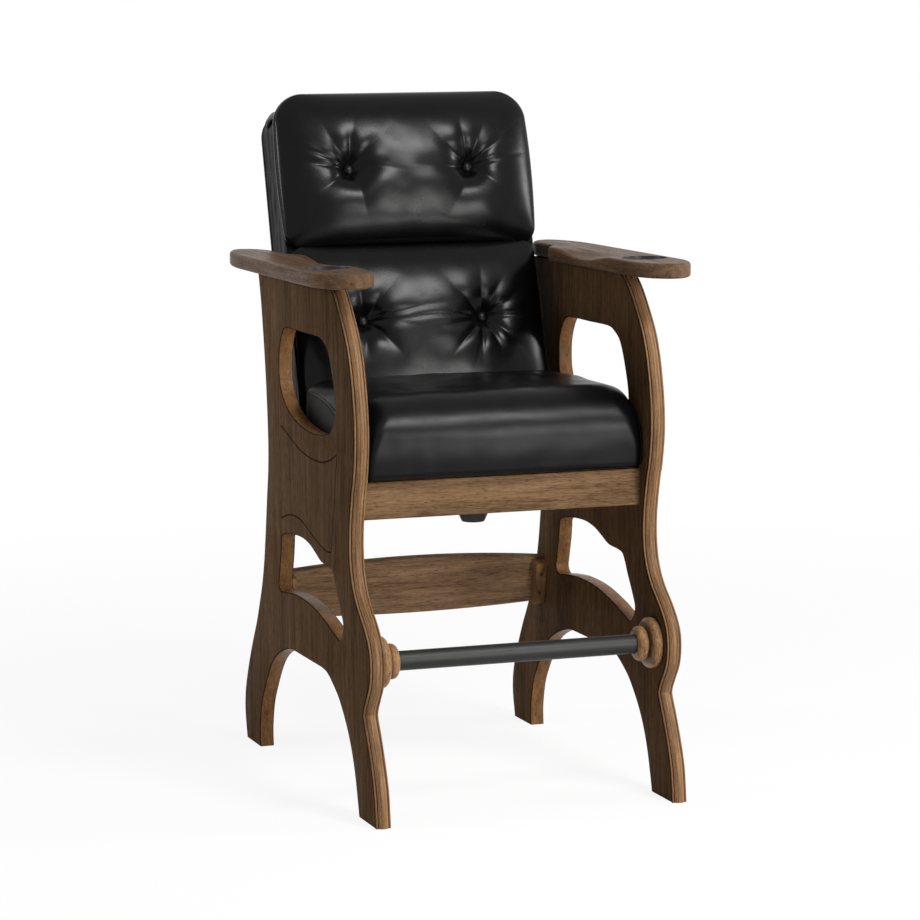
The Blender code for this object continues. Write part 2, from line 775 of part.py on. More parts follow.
# Board between the panels that carries the tilt mechanism, under two side cleats
mount_bottom = apron_bottom + gap
mount_top = mount_bottom + mount_board_thickness
mount_front = apron_rear + gap
mount_mesh = box_mesh("mount_board", (-board_half, mount_front, mount_bottom),
                      (board_half, mount_board_rear, mount_top))
mount_board = piece("mechanism_board", mount_mesh, wood_hidden, stool)
opening_mesh = box_mesh("mount_opening", (-mount_opening_half, mount_opening_front, mount_bottom - overrun),
                        (mount_opening_half, mount_opening_rear, mount_top + overrun))
cut(mount_board, cutter("mount_opening", opening_mesh, stool))
for side, side_name in ((-1, "left"), (1, "right")):
    inner, outer = sorted((side * (board_half - seat_cleat_width), side * board_half))
    cleat_mesh = box_mesh("seat_cleat", (inner, mount_front, mount_top + gap),
                          (outer, mount_board_rear, mount_top + gap + seat_cleat_height))
    piece(side_name + "_seat_cleat", cleat_mesh, wood_hidden, stool)

# Base channel of the tilt mechanism: a floor, two ears for the pivot and a front stop
base_floor = mount_top + gap
base_floor_top = base_floor + plate_steel
seat_board_top = cushion_bottom - gap
seat_board_bottom = seat_board_top - seat_board_thickness
seat_plate_top = seat_board_bottom - gap
seat_plate_bottom = seat_plate_top - plate_steel
seat_axis = holder("seat_tilt_axis", stool, (0, pivot_y, pivot_z))
base = piece("base_channel", box_mesh("base_floor", (-base_half, base_front, base_floor),
                                      (base_half, base_rear, base_floor_top)), bare_steel, stool)
for side in (-1, 1):
    inner, outer = sorted((side * (base_half - plate_steel), side * base_half))
    ear_mesh = box_mesh("base_ear", (inner, pivot_y - base_ear_half, base_floor_top - plate_steel / 2),
                        (outer, pivot_y + base_ear_half, pivot_z + base_ear_top))
    add(base, cutter("base_ear_%d" % side, ear_mesh, stool))
stop_half = base_half - plate_steel
stop_mesh = box_mesh("base_stop", (-stop_half, seat_plate_front, base_floor_top - plate_steel / 2),
                     (stop_half, seat_plate_front + plate_steel, seat_plate_bottom - gap))
add(base, cutter("base_stop", stop_mesh, stool))
pin_half = base_half + gap + plate_steel + gap
pin_room_mesh = rod_mesh("pin_room", pivot_radius + running_gap, -pin_half - overrun, pin_half + overrun, 20)
pin_room = cutter("pin_room", pin_room_mesh, seat_axis, (0, 0, 0), sideways)
cut(base, pin_room)
slot_half = tension_bolt_radius + gap * 2
slot_mesh = box_mesh("tension_slot", (-slot_half, tension_slot_front, base_floor - overrun),
                     (slot_half, tension_slot_rear, base_floor_top + overrun))
cut(base, cutter("tension_slot", slot_mesh, stool))
bolt_profile = [
    (0, base_bolt_head), (base_bolt_head_radius, base_bolt_head), (base_bolt_head_radius, 0),
    (base_bolt_radius, 0), (base_bolt_radius, -plate_steel - gap * 2 - mount_board_thickness),
    (0, -plate_steel - gap * 2 - mount_board_thickness),
]
for front_name, bolt_y in (("front", base_bolt_front), ("rear", base_bolt_rear)):
    for side, side_name in ((-1, "left"), (1, "right")):
        bolt_name = "base_bolt_" + front_name + "_" + side_name
        bolt_place = (side * base_bolt_x, bolt_y, base_floor_top + gap)
        room_mesh = rod_mesh("bolt_room", base_bolt_radius + gap, mount_bottom - base_floor_top - overrun,
                             overrun, 12)
        room = cutter(bolt_name + "_room", room_mesh, stool, bolt_place)
        cut(base, room)
        cut(mount_board, room)
        piece(bolt_name, turned_mesh("base_bolt", bolt_profile, 12), bare_steel, stool, bolt_place)

# Pivot pin, headed at both ends, held in the base channel's ears
pin_profile = [
    (0, pin_half + gap + pivot_head_length), (pivot_head_radius, pin_half + gap + pivot_head_length),
    (pivot_head_radius, pin_half + gap), (pivot_radius, pin_half + gap),
    (pivot_radius, -pin_half - gap), (pivot_head_radius, -pin_half - gap),
    (pivot_head_radius, -pin_half - gap - pivot_head_length), (0, -pin_half - gap - pivot_head_length),
]
pin_mesh = turned_mesh("pivot_pin", pin_profile, 20)
piece("pivot_pin", pin_mesh, bare_steel, stool, (0, pivot_y, pivot_z), sideways)


def from_pivot(x, y, z):
    """A place in the stool's frame as a place in the tilting seat's frame."""
    return (x, y - pivot_y, z - pivot_z)


# Seat plate with two ears outside the base channel's
plate_mesh = box_mesh("seat_plate", from_pivot(-seat_plate_half, seat_plate_front, seat_plate_bottom),
                      from_pivot(seat_plate_half, seat_plate_rear, seat_plate_top))
seat_plate = piece("seat_plate", plate_mesh, bare_steel, seat_axis)
for side in (-1, 1):
    inner, outer = sorted((side * (base_half + gap), side * (base_half + gap + plate_steel)))
    ear_mesh = box_mesh("seat_ear", (inner, -seat_ear_half, -seat_ear_drop),
                        (outer, seat_ear_half, seat_plate_bottom - pivot_z + plate_steel / 2))
    add(seat_plate, cutter("seat_ear_%d" % side, ear_mesh, seat_axis))
cut(seat_plate, pin_room)
tension_room_mesh = rod_mesh("tension_room", tension_bolt_radius + gap, -overrun, overrun, 16)
tension_room = cutter("tension_room", tension_room_mesh, seat_axis, from_pivot(0, tension_y, seat_plate_top))
cut(seat_plate, tension_room)

# Seat board on the plate, with a pocket over the tension bolt's head
seat_board_front = apron_rear + seat_board_front_gap
board_mesh = box_mesh("seat_board", from_pivot(-seat_board_half, seat_board_front, seat_board_bottom),
                      from_pivot(seat_board_half, seat_board_rear, seat_board_top))
seat_board = piece("seat_board", board_mesh, wood_hidden, seat_axis)
pocket_depth = tension_head_height + gap * 4
pocket_mesh = rod_mesh("bolt_pocket", tension_head_radius + gap * 2, -overrun, pocket_depth, 16)
pocket_place = from_pivot(0, tension_y, seat_board_bottom)
cut(seat_board, cutter("bolt_pocket", pocket_mesh, seat_axis, pocket_place))
plate_screw_profile = [
    (0, plate_screw_length), (plate_screw_radius, plate_screw_length), (plate_screw_radius, 0),
    (plate_screw_head_radius, 0), (plate_screw_head_radius, -plate_screw_head), (0, -plate_screw_head),
]
for front_name, screw_y in (("front", plate_screw_front), ("rear", plate_screw_rear)):
    for side, side_name in ((-1, "left"), (1, "right")):
        screw_name = "plate_screw_" + front_name + "_" + side_name
        screw_place = from_pivot(side * plate_screw_x, screw_y, seat_plate_bottom - gap)
        room_mesh = rod_mesh("plate_screw_room", plate_screw_radius + gap, -overrun,
                             plate_screw_length + gap, 12)
        room = cutter(screw_name + "_room", room_mesh, seat_axis, screw_place)
        cut(seat_plate, room)
        cut(seat_board, room)
        screw_mesh = turned_mesh("plate_screw", plate_screw_profile, 12)
        piece(screw_name, screw_mesh, bare_steel, seat_axis, screw_place)

# Tension bolt hanging from the seat plate, the spring round it and the knob on its end
bolt_end = knob_bottom + knob_bore_floor + gap
tension_profile = [
    (0, tension_head_height), (tension_head_radius, tension_head_height), (tension_head_radius, 0),
    (tension_bolt_radius, 0), (tension_bolt_radius, bolt_end - seat_plate_top - gap),
    (0, bolt_end - seat_plate_top - gap),
]
piece("tension_bolt", turned_mesh("tension_bolt", tension_profile, 16), bare_steel, seat_axis,
      from_pivot(0, tension_y, seat_plate_top + gap))
knob_profile = [
    (0, knob_bore_floor), (tension_bolt_radius + running_gap, knob_bore_floor),
    (tension_bolt_radius + running_gap, knob_floor), (knob_well_radius, knob_floor),
    (knob_well_radius, knob_height), (knob_top_radius, knob_height), (knob_top_radius, knob_flare_height),
    (knob_foot_radius, knob_chamfer), (knob_foot_radius - knob_chamfer, 0), (0, 0),
]
piece("tension_knob", turned_mesh("tension_knob", knob_profile, 24), black_plastic, seat_axis,
      from_pivot(0, tension_y, knob_bottom))
spring_low = knob_bottom + knob_floor + gap + spring_wire_radius
spring_high = base_floor - gap - spring_wire_radius
spring_route = []
for step in range(spring_turns * spring_points_a_turn + 1):
    angle = 2 * math.pi * step / spring_points_a_turn
    share = step / (spring_turns * spring_points_a_turn)
    spring_route.append((spring_radius * math.cos(angle), spring_radius * math.sin(angle),
                         share * (spring_high - spring_low)))
piece("tension_spring", tube_mesh("tension_spring", spring_route, spring_wire_radius), bare_steel, stool,
      (0, tension_y, spring_low))

# Seat cushion: crowned top, rolled front and a rear face that follows the back's slope
cushion_top = cushion_bottom + cushion_height
rear_slope = math.tan(back_recline)


def cushion_rear(z):
    """Where the cushion's rear face lies at a height, in front of the lower pillow."""
    along = z - back_foot_z - seat_to_back * math.sin(back_recline)
    return back_foot_y - seat_to_back * math.cos(back_recline) + along * rear_slope


def cushion_form(across, deep, up):
    """The seat cushion's cage: across -1 to 1, deep -1 front to 1 rear, up -1 to 1."""
    z = cushion_bottom + (up + 1) / 2 * cushion_height
    crown = (1 - across ** 2) * (1 - 0.7 * deep ** 2)
    if up > 0:
        z += cushion_crown * up * crown
    front = cushion_front - cushion_front_bulge * (1 - across ** 2) * (1 - up ** 2)
    rear = cushion_rear(z)
    y = front + (deep + 1) / 2 * (rear - front)
    half = cushion_half + cushion_side_bulge * (1 - deep ** 2) * (1 - up ** 2)
    x = across * (half - cushion_side_draw * up ** 2)
    return from_pivot(x, y, z)


cushion_mesh = padded_mesh("seat_cushion", (-0.87, -0.5, 0, 0.5, 0.87), (-0.86, -0.5, 0, 0.5, 0.90),
                           (-0.72, 0, 0.66), cushion_form)
seat_cushion = piece("seat_cushion", cushion_mesh, leather, seat_axis)
soften(seat_cushion)

# Back: a boxed core with a rear panel, in its own leaning frame
back = holder("back_holder", seat_axis, from_pivot(0, back_foot_y, back_foot_z), (-back_recline, 0, 0))


def back_outline(half, foot, top, corner):
    """The back's outline: square at the foot, rounded at the top."""
    return (
        [(-half, foot), (half, foot)]
        + arc((half - corner, top - corner), (corner, corner), 0, 90, 5)
        + arc((corner - half, top - corner), (corner, corner), 90, 180, 5)
    )


core_outline = back_outline(back_half, 0, back_height, back_corner)
core = piece("back_core", slab_mesh("back_core", [core_outline], back_core_depth, back_easing), leather, back,
             (0, back_core_depth / 2, 0), front_view)
rear_outline = back_outline(back_half - rear_panel_inset, rear_panel_inset, back_height - rear_panel_inset,
                            back_corner - rear_panel_inset)
rear_panel_mesh = slab_mesh("back_rear_panel", [rear_outline], rear_panel_depth, rear_panel_easing)
piece("back_rear_panel", rear_panel_mesh, leather, back,
      (0, back_core_depth + gap + rear_panel_depth / 2, 0), front_view)


def corner_draw(corner, away):
    """How far a rounded corner draws the side in at a distance from the end."""
    if away >= corner:
        return 0
    return corner - math.sqrt(corner ** 2 - (corner - max(away, 0)) ** 2)


def pillow_form(foot, top, top_corner, tuft_height):
    """The cage of one tufted back pillow between two heights."""
    def form(across, up, deep):
        height = (foot + top) / 2 + up * (top - foot) / 2
        drawn = max(corner_draw(top_corner, top - height), corner_draw(pillow_corner, height - foot))
        x = across * (pillow_half - drawn + pillow_bulge * (1 - up ** 2))
        swell = (1 - abs(across) ** 3) ** 0.7 * (1 - abs(up) ** 3) ** 0.7
        front = pillow_edge_depth + pillow_crown * swell
        for tuft in (-tuft_x, tuft_x):
            away = ((x - tuft) ** 2 + (height - tuft_height) ** 2) / tuft_spread ** 2
            front -= tuft_depth * math.exp(-away * 2)
        depth = -gap - (1 - deep) / 2 * (front - gap)
        return (x, depth, height)
    return form


pillow_across_shares = (-0.90, -0.72, -0.58, -0.48, -0.37, -0.18, 0, 0.18, 0.37, 0.48, 0.58, 0.72, 0.90)
for pillow_name, foot, top, top_corner, tuft_height, up_shares in (
    ("upper_back_pillow", pillow_split + gap, pillow_top, pillow_top_corner, upper_tuft_height,
     (-0.90, -0.55, -0.25, -0.03, 0.14, 0.36, 0.66, 0.90)),
    ("lower_back_pillow", lower_pillow_foot, pillow_split - gap, pillow_corner, lower_tuft_height,
     (-0.90, -0.50, -0.15, 0.05, 0.17, 0.30, 0.55, 0.90)),
):
    pillow_mesh = padded_mesh(pillow_name, pillow_across_shares, up_shares, (0.0,),
                              pillow_form(foot, top, top_corner, tuft_height))
    pillow = piece(pillow_name, pillow_mesh, leather, back)
    soften(pillow)
    level_name = pillow_name.split("_")[0]
    for side, side_name in ((-1, "left"), (1, "right")):
        button_place = (side * tuft_x, -button_seat, tuft_height)
        room_mesh = rod_mesh("button_room", button_radius + gap, -gap, pillow_edge_depth + pillow_crown, 16)
        facing = (math.radians(90), 0, 0)
        button_name = level_name + "_" + side_name + "_button"
        cut(pillow, cutter(button_name + "_room", room_mesh, back, button_place, facing))
        button_profile = [(0, button_height)]
        for angle in (60, 30, 0):
            swing = math.radians(angle)
            button_profile.append((button_radius * math.cos(swing),
                                   button_height * (0.3 + 0.7 * math.sin(swing))))
        button_profile += [(button_radius, 0), (0, 0)]
        piece(button_name, turned_mesh("button", button_profile, 16), leather, back, button_place, facing)

# Steel straps bolted under the seat board and running up inside the back's core
strap_top_z = seat_board_bottom - gap
strap_bottom_z = strap_top_z - strap_steel


def on_slope(depth, z):
    """Where a line at a depth in the back crosses a height of the stool."""
    along = (z - back_foot_z + depth * math.sin(back_recline)) / math.cos(back_recline)
    return (back_foot_y + depth * math.cos(back_recline) + along * math.sin(back_recline), z)


def up_slope(depth, height):
    """A place in the back's frame as (rearwards, up) in the stool's frame."""
    return (back_foot_y + depth * math.cos(back_recline) + height * math.sin(back_recline),
            back_foot_z - depth * math.sin(back_recline) + height * math.cos(back_recline))


strap_outline = [
    (strap_front, strap_bottom_z), on_slope(strap_back_depth + strap_steel, strap_bottom_z),
    up_slope(strap_back_depth + strap_steel, strap_top), up_slope(strap_back_depth, strap_top),
    on_slope(strap_back_depth, strap_top_z), (strap_front, strap_top_z),
]
strap_outline = [(across - pivot_y, up - pivot_z) for across, up in strap_outline]
strap_bolt_profile = [
    (0, strap_bolt_length), (strap_bolt_radius, strap_bolt_length), (strap_bolt_radius, 0),
    (strap_bolt_head_radius, 0), (strap_bolt_head_radius, -strap_bolt_head), (0, -strap_bolt_head),
]
for side, side_name in ((-1, "left"), (1, "right")):
    strap_mesh = slab_mesh("back_strap", [strap_outline], strap_width)
    strap = piece(side_name + "_back_strap", strap_mesh, bare_steel, seat_axis, (side * strap_x, 0, 0),
                  side_view)
    room_mesh = box_mesh("strap_room", (-strap_width / 2 - gap, strap_back_depth - gap, -overrun * 4),
                         (strap_width / 2 + gap, strap_back_depth + strap_steel + gap, strap_top + gap))
    cut(core, cutter(side_name + "_strap_room", room_mesh, back, (side * strap_x, 0, 0)))
    bolt_place = from_pivot(side * strap_x, strap_bolt_y, strap_bottom_z - gap)
    bolt_room_mesh = rod_mesh("strap_bolt_room", strap_bolt_radius + gap, -overrun,
                              strap_bolt_length + gap, 12)
    room = cutter(side_name + "_strap_bolt_room", bolt_room_mesh, seat_axis, bolt_place)
    cut(strap, room)
    cut(seat_board, room)
    piece(side_name + "_strap_bolt", turned_mesh("strap_bolt", strap_bolt_profile, 12), bare_steel, seat_axis,
          bolt_place)
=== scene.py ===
"""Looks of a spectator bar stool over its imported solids: brushed walnut side panels, arms and rails,
a black foot rail, and a tilting seat and back in glossy black leather with buttoned pillows.

Metres, +X to the right as seen from the front, +Y to the rear, +Z up, floor at z = 0.
"""
import math

import bmesh
import bpy
import numpy as np
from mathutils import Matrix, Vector


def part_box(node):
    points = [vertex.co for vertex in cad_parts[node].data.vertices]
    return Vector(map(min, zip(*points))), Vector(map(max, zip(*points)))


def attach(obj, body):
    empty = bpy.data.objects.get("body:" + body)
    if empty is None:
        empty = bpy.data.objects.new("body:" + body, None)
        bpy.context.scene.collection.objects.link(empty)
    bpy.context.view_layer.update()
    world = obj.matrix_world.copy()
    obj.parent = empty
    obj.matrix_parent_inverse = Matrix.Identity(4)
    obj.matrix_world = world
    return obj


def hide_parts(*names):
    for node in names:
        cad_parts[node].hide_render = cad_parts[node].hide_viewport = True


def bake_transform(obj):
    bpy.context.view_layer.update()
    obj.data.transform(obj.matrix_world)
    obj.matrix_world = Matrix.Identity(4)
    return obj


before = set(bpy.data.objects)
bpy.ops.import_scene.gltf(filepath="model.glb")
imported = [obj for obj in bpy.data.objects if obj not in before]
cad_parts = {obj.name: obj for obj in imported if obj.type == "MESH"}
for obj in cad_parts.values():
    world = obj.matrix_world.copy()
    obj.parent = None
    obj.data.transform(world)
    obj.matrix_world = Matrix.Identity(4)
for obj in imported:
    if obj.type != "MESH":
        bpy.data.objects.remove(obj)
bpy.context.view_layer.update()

# Side panels. Each is one thick walnut board glued up from upright staves, pierced by two openings
# and a leg arch, its edges eased by hand and a fine line scored round the middle of its outer face.
floor_shift = 0.0113
panel_depth, panel_height, panel_thickness, clear_half = 0.844, 0.958, 0.0283, 0.272
panel_easing, score_radius, score_out = 0.0016, 0.0017, 0.0004
flat_facing, side_facing, rim_facing = 0.9995, 0.9, 0.05
sides = ((-1, "left"), (1, "right"))
# Each outline is pairs of rearward place from the middle, in thousandths of the depth, and height, in
# thousandths of the panel's height.
front_edge = [
    (-487, 0), (-474, 73), (-437, 148), (-409, 193), (-409, 210), (-424, 231), (-449, 264), (-457, 299),
    (-449, 332), (-418, 365), (-361, 407), (-331, 447), (-319, 491), (-320, 543), (-338, 612), (-351, 644),
    (-363, 707), (-359, 767), (-342, 833), (-318, 884), (-284, 925), (-236, 971), (-190, 1000),
]
rear_edge = [
    (355, 1000), (332, 931), (315, 856), (303, 791), (295, 733), (288, 652), (291, 590), (305, 527),
    (318, 465), (333, 402), (352, 350), (376, 306), (404, 261), (447, 205), (481, 154), (504, 111), (513, 78),
    (512, 47), (499, 0),
]
arch_rear = [
    (387, 0), (389, 31), (383, 63), (368, 100), (338, 137), (302, 175), (263, 204), (214, 225), (149, 242),
    (107, 246),
]
arch_front = [(-107, 246), (-153, 241), (-205, 221), (-249, 196), (-305, 145), (-344, 84), (-374, 0)]
upper_hole = [
    (118, 890), (0, 890), (-113, 890), (-153, 882), (-190, 861), (-222, 806), (-236, 765), (-230, 745),
    (-195, 715), (-145, 705), (-65, 699), (28, 705), (86, 716), (128, 729), (164, 749), (186, 773), (193, 801),
    (190, 835), (175, 864), (154, 883),
]
lower_hole = [
    (187, 466), (152, 475), (95, 481), (26, 483), (-30, 477), (-73, 466), (-117, 454), (-173, 451),
    (-204, 444), (-231, 410), (-257, 378), (-274, 351), (-263, 330), (-244, 319), (-206, 326), (-140, 342),
    (-38, 358), (71, 362), (158, 356), (199, 352), (216, 364), (211, 384), (198, 423), (192, 451),
]
score_top = [(182, 691), (98, 671), (30, 656), (-51, 649), (-132, 650), (-198, 662), (-241, 676)]
score_front = [(-241, 676), (-220, 585), (-206, 538), (-193, 482)]
score_bottom = [(-193, 482), (-150, 481), (-98, 489), (-44, 500), (24, 516), (78, 520), (130, 516), (187, 503)]


def math_node(operation, swapped=False):
    """A method that makes a Math node of a wire and the wires or numbers given with it."""
    def made(wire, *others):
        values = (*others, wire) if swapped else (wire, *others)
        return wire.nodes.node("Math", dict(enumerate(values)), operation=operation)
    return made


class Wire:
    """A shader socket that takes part in sums; each sum of wires and numbers makes its Math node."""

    def __init__(self, nodes, socket):
        self.nodes, self.socket = nodes, socket

    __add__ = __radd__ = math_node("ADD")
    __sub__, __rsub__ = math_node("SUBTRACT"), math_node("SUBTRACT", True)
    __mul__, __truediv__, __lt__ = math_node("MULTIPLY"), math_node("DIVIDE"), math_node("LESS_THAN")
    floor, size, least, most = (math_node(name) for name in ("FLOOR", "ABSOLUTE", "MINIMUM", "MAXIMUM"))

    def held(self):
        """The value kept between 0 and 1."""
        return self.most(0.0).least(1.0)


class Nodes:
    """A tree of shader nodes while it is wired."""

    def __init__(self, tree):
        self.tree = tree

    def node(self, kind, sockets=None, output=0, **settings):
        """A node: its type, the values or wires of its sockets, the output that is used, its settings."""
        made = self.tree.nodes.new("ShaderNode" + kind)
        for setting, value in settings.items():
            setattr(made, setting, value)
        for socket, value in (sockets or {}).items():
            if isinstance(value, Wire):
                self.tree.links.new(value.socket, made.inputs[socket])
            else:
                made.inputs[socket].default_value = value
        return Wire(self, made.outputs[output])

    def place(self, where="Object"):
        return self.node("TexCoord", output=where)

    def axis(self, place, letter):
        return self.node("SeparateXYZ", {"Vector": place}, letter)

    def stretched(self, place, scale):
        return self.node("Mapping", {"Vector": place, "Scale": scale})

    def noise(self, place, scale, detail=2.0, rough=0.5, warp=0.0):
        sockets = {"Vector": place, "Scale": scale, "Detail": detail, "Roughness": rough, "Distortion": warp}
        return self.node("TexNoise", sockets)

    def mix(self, share, first, second):
        """One colour turning into another as share goes from 0 to 1."""
        first, second = (end if isinstance(end, Wire) else (*end, 1.0) for end in (first, second))
        return self.node("Mix", {0: share, 6: first, 7: second}, 2, data_type="RGBA", clamp_factor=True)

    def bump(self, height, strength, distance):
        return self.node("Bump", {"Height": height, "Strength": strength, "Distance": distance}, "Normal")


shader_sockets = {"colour": "Base Color", "rough": "Roughness", "metal": "Metallic", "gloss": "Specular IOR Level",
                  "normal": "Normal"}


class Finish(Nodes):
    """A material while it is wired: a Principled shader with its constants set on its own sockets."""

    def __init__(self, name, **constants):
        self.material = bpy.data.materials.new(name)
        self.material.use_nodes = True
        super().__init__(self.material.node_tree)
        self.shader = self.tree.nodes["Principled BSDF"]
        for socket, value in constants.items():
            self.shader.inputs[shader_sockets[socket]].default_value = value

    def feed(self, **wires):
        """Colour, roughness or normal of the shader taken from wires."""
        for name, wire in wires.items():
            self.tree.links.new(wire.socket, self.shader.inputs[shader_sockets[name]])
        return self.material


def walnut(name, dark, light, stretch, rough, gloss=0.02, stave=0.0, where="Object", crevice_shade=None):
    """Brushed, stained walnut. Its tone adds a broad figure, streaks and fine lines, all drawn out along
    the grain, less short dark pores; glued staves differ a little in tone, and the function given for
    grooves says how much painted shade darkens the wood where shade falls in a groove or cove."""
    wood = Finish(name, gloss=gloss)
    place = wood.place(where)
    grain = wood.stretched(place, stretch)
    figure = wood.noise(grain, 1.0, 2.0, 0.5, 0.7)
    streaks = wood.noise(grain, 7.0, 3.0, 0.6)
    lines = wood.noise(grain, 38.0, 2.0, 0.6)
    pore = ((wood.noise(grain, 90.0, 1.0, 0.5) - 0.57) * 7.0).held()
    tone = figure * 0.9 + streaks * 1.25 + lines * 1.25 - 1.2
    if stave:
        across = wood.axis(place, "Y") / stave + 0.31
        board = across.floor()
        odd = wood.node("TexWhiteNoise", {"W": board}, "Value", noise_dimensions="1D")
        tone = tone + (odd - 0.5) * 0.28 - ((across - board) < 0.008) * 0.35
    colour = wood.mix(tone.held(), dark, light)
    colour = wood.mix(pore * 0.78, colour, (dark[0] * 0.35, dark[1] * 0.33, dark[2] * 0.32))
    # Painted shade: the wood is darkened in grooves and coves, where shade falls.
    if crevice_shade:
        colour = wood.mix(crevice_shade(wood, place), colour, (dark[0] * 0.22, dark[1] * 0.2, dark[2] * 0.2))
    bumped = wood.bump(lines * 0.5 + streaks * 0.4 - pore * 0.5, 0.35, 0.0006)
    return wood.feed(colour=colour, rough=rough + (0.5 - streaks) * 0.3 + pore * 0.15, normal=bumped)


def places(*parts):
    """Arrays or numbers for each coordinate joined into one array of places."""
    return np.stack(np.broadcast_arrays(*parts), axis=-1)


def flowing(points, steps=8, closed=False):
    """Catmull-Rom line: each span runs as a cubic through its two ends with the neighbours' slopes."""
    points = np.asarray(points, float)
    count = len(points)
    spans = np.arange(count if closed else count - 1)
    near = [spans + offset for offset in (-1, 0, 1, 2)]
    near = [place % count if closed else place.clip(0, count - 1) for place in near]
    before, start, end, after = [points[place][:, None, :] for place in near]
    t = (np.arange(steps) / steps)[None, :, None]
    line = 0.5 * (2 * start + (end - before) * t + (2 * before - 5 * start + 4 * end - after) * t ** 2
                  + (3 * start - before - 3 * end + after) * t ** 3)
    line = line.reshape(-1, points.shape[1])
    return line if closed else np.vstack([line, points[-1:]])


def on_panel(outline, closed=False):
    """A flowing line through one of the panel's outlines, in metres."""
    return flowing(np.asarray(outline) / 1000 * (panel_depth, panel_height) - (floor_shift, 0), closed=closed)


def added(name, data):
    """A new object in the scene."""
    item = bpy.data.objects.new(name, data)
    bpy.context.scene.collection.objects.link(item)
    return item


def final_mesh(item):
    """What an object comes out as, as a mesh of its own."""
    return bpy.data.meshes.new_from_object(item.evaluated_get(bpy.context.evaluated_depsgraph_get()))


def curve_mesh(name, loops, closed, **settings):
    """A curve of straight spans through each loop's points, bevelled or filled, made a mesh."""
    curve = bpy.data.curves.new(name, "CURVE")
    for setting, value in settings.items():
        setattr(curve, setting, value)
    for loop in loops:
        spline = curve.splines.new("POLY")
        spline.points.add(len(loop) - 1)
        full = np.zeros((len(loop), 4))
        full[:, :loop.shape[1]] = loop
        full[:, 3] = 1
        spline.points.foreach_set("co", full.ravel())
        spline.use_cyclic_u = closed
    item = added(name, curve)
    mesh = final_mesh(item)
    bpy.data.objects.remove(item, do_unlink=True)
    return mesh


def merged(*meshes, distance=0.00001, cuts=()):
    """Meshes joined in the first one, their doubles welded and faces turned outwards. Each cut is a
    height and the way, up or down, in which all beyond it is taken off and the end closed."""
    shape = bmesh.new()
    for mesh in meshes:
        shape.from_mesh(mesh)
    bmesh.ops.remove_doubles(shape, verts=shape.verts, dist=distance)
    for height, upward in cuts:
        everything = shape.verts[:] + shape.edges[:] + shape.faces[:]
        bmesh.ops.bisect_plane(shape, geom=everything, plane_co=(0, 0, height), plane_no=(0, 0, upward),
                               clear_outer=True)
        bmesh.ops.holes_fill(shape, edges=shape.edges[:], sides=0)
    bmesh.ops.recalc_face_normals(shape, faces=shape.faces)
    shape.to_mesh(meshes[0])
    shape.free()
    return meshes[0]


def wire_mesh(name, line, radius, closed=False):
    """A round wire along a line, its ends closed."""
    return merged(curve_mesh(name, [line], closed, dimensions="3D", bevel_depth=radius, bevel_resolution=3,
                             use_fill_caps=not closed))


def placed(mesh, place):
    """A mesh's points moved by a function of their array."""
    points = np.empty(len(mesh.vertices) * 3)
    mesh.vertices.foreach_get("co", points)
    mesh.vertices.foreach_set("co", place(points.reshape(-1, 3)).ravel())
    mesh.update()
    return mesh


def piece(name, mesh, finishes, body, nodes=(), smooth=50):
    """A finished piece: its mesh, its materials, the body it rides on, or None where it rides on none,
    the solids it stands for, and the angle in degrees up to which its edges are shaded smooth."""
    item = added(name, mesh)
    mesh.materials.clear()
    for finish in finishes:
        mesh.materials.append(finish)
    if smooth:
        mesh.shade_smooth()
        mesh.set_sharp_from_angle(angle=math.radians(smooth))
    if body:
        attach(item, body)
    if nodes:
        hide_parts(*nodes)
    return item


def face_x(mesh, what):
    """The size of the X part of each face's normal or center."""
    parts = np.empty(len(mesh.polygons) * 3)
    mesh.polygons.foreach_get(what, parts)
    return np.abs(parts[::3])


def cut(item, tool):
    """Takes the tool's mesh out of a piece for good."""
    carver = added("tool", tool)
    step = item.modifiers.new("cut", "BOOLEAN")
    step.operation, step.solver, step.object = "DIFFERENCE", "EXACT", carver
    mesh = final_mesh(item)
    item.modifiers.clear()
    item.data = mesh
    bpy.data.objects.remove(carver, do_unlink=True)


up_the_panel = (11, 11, 0.8)
outer_walnut = walnut("outer_walnut", (0.042, 0.0225, 0.0105), (0.122, 0.068, 0.034), up_the_panel, 0.55, 0.006,
                      stave=0.094)
rim_walnut = walnut("rim_walnut", (0.078, 0.036, 0.0135), (0.240, 0.122, 0.050), up_the_panel, 0.34, 0.05)
arris_walnut = walnut("arris_walnut", (0.014, 0.0085, 0.0055), (0.044, 0.027, 0.017), up_the_panel, 0.7, 0.0)
panel_loops = [np.vstack([on_panel(edge) for edge in (front_edge, rear_edge, arch_rear, arch_front)]),
               on_panel(upper_hole, True), on_panel(lower_hole, True)]
score_line = np.vstack([on_panel(score_top)[:-1], on_panel(score_front)[:-1], on_panel(score_bottom)])
for side, side_name in sides:
    middle = side * (clear_half + panel_thickness / 2)
    board = curve_mesh("panel", panel_loops, True, dimensions="2D", fill_mode="BOTH", bevel_resolution=2,
                       extrude=panel_thickness / 2 - panel_easing, bevel_depth=panel_easing,
                       offset=-panel_easing)
    board = placed(merged(board), lambda p: places(p[:, 2] + middle, p[:, 0], p[:, 1]))
    panel = piece(side_name + "_panel", board, (outer_walnut, rim_walnut, arris_walnut), "frame",
                  (side_name + "_side_panel",), smooth=0)
    score_x = side * (clear_half + panel_thickness + score_out)
    cut(panel, wire_mesh("scorer", places(score_x, *score_line.T), score_radius))
    facing = face_x(panel.data, "normal")
    wood_index = np.where(facing > flat_facing, 0, np.where(facing < rim_facing, 1, 2))
    panel.data.polygons.foreach_set("use_smooth", facing < flat_facing)
    panel.data.polygons.foreach_set("material_index", wood_index)
    panel.data.set_sharp_from_angle(angle=math.radians(42))
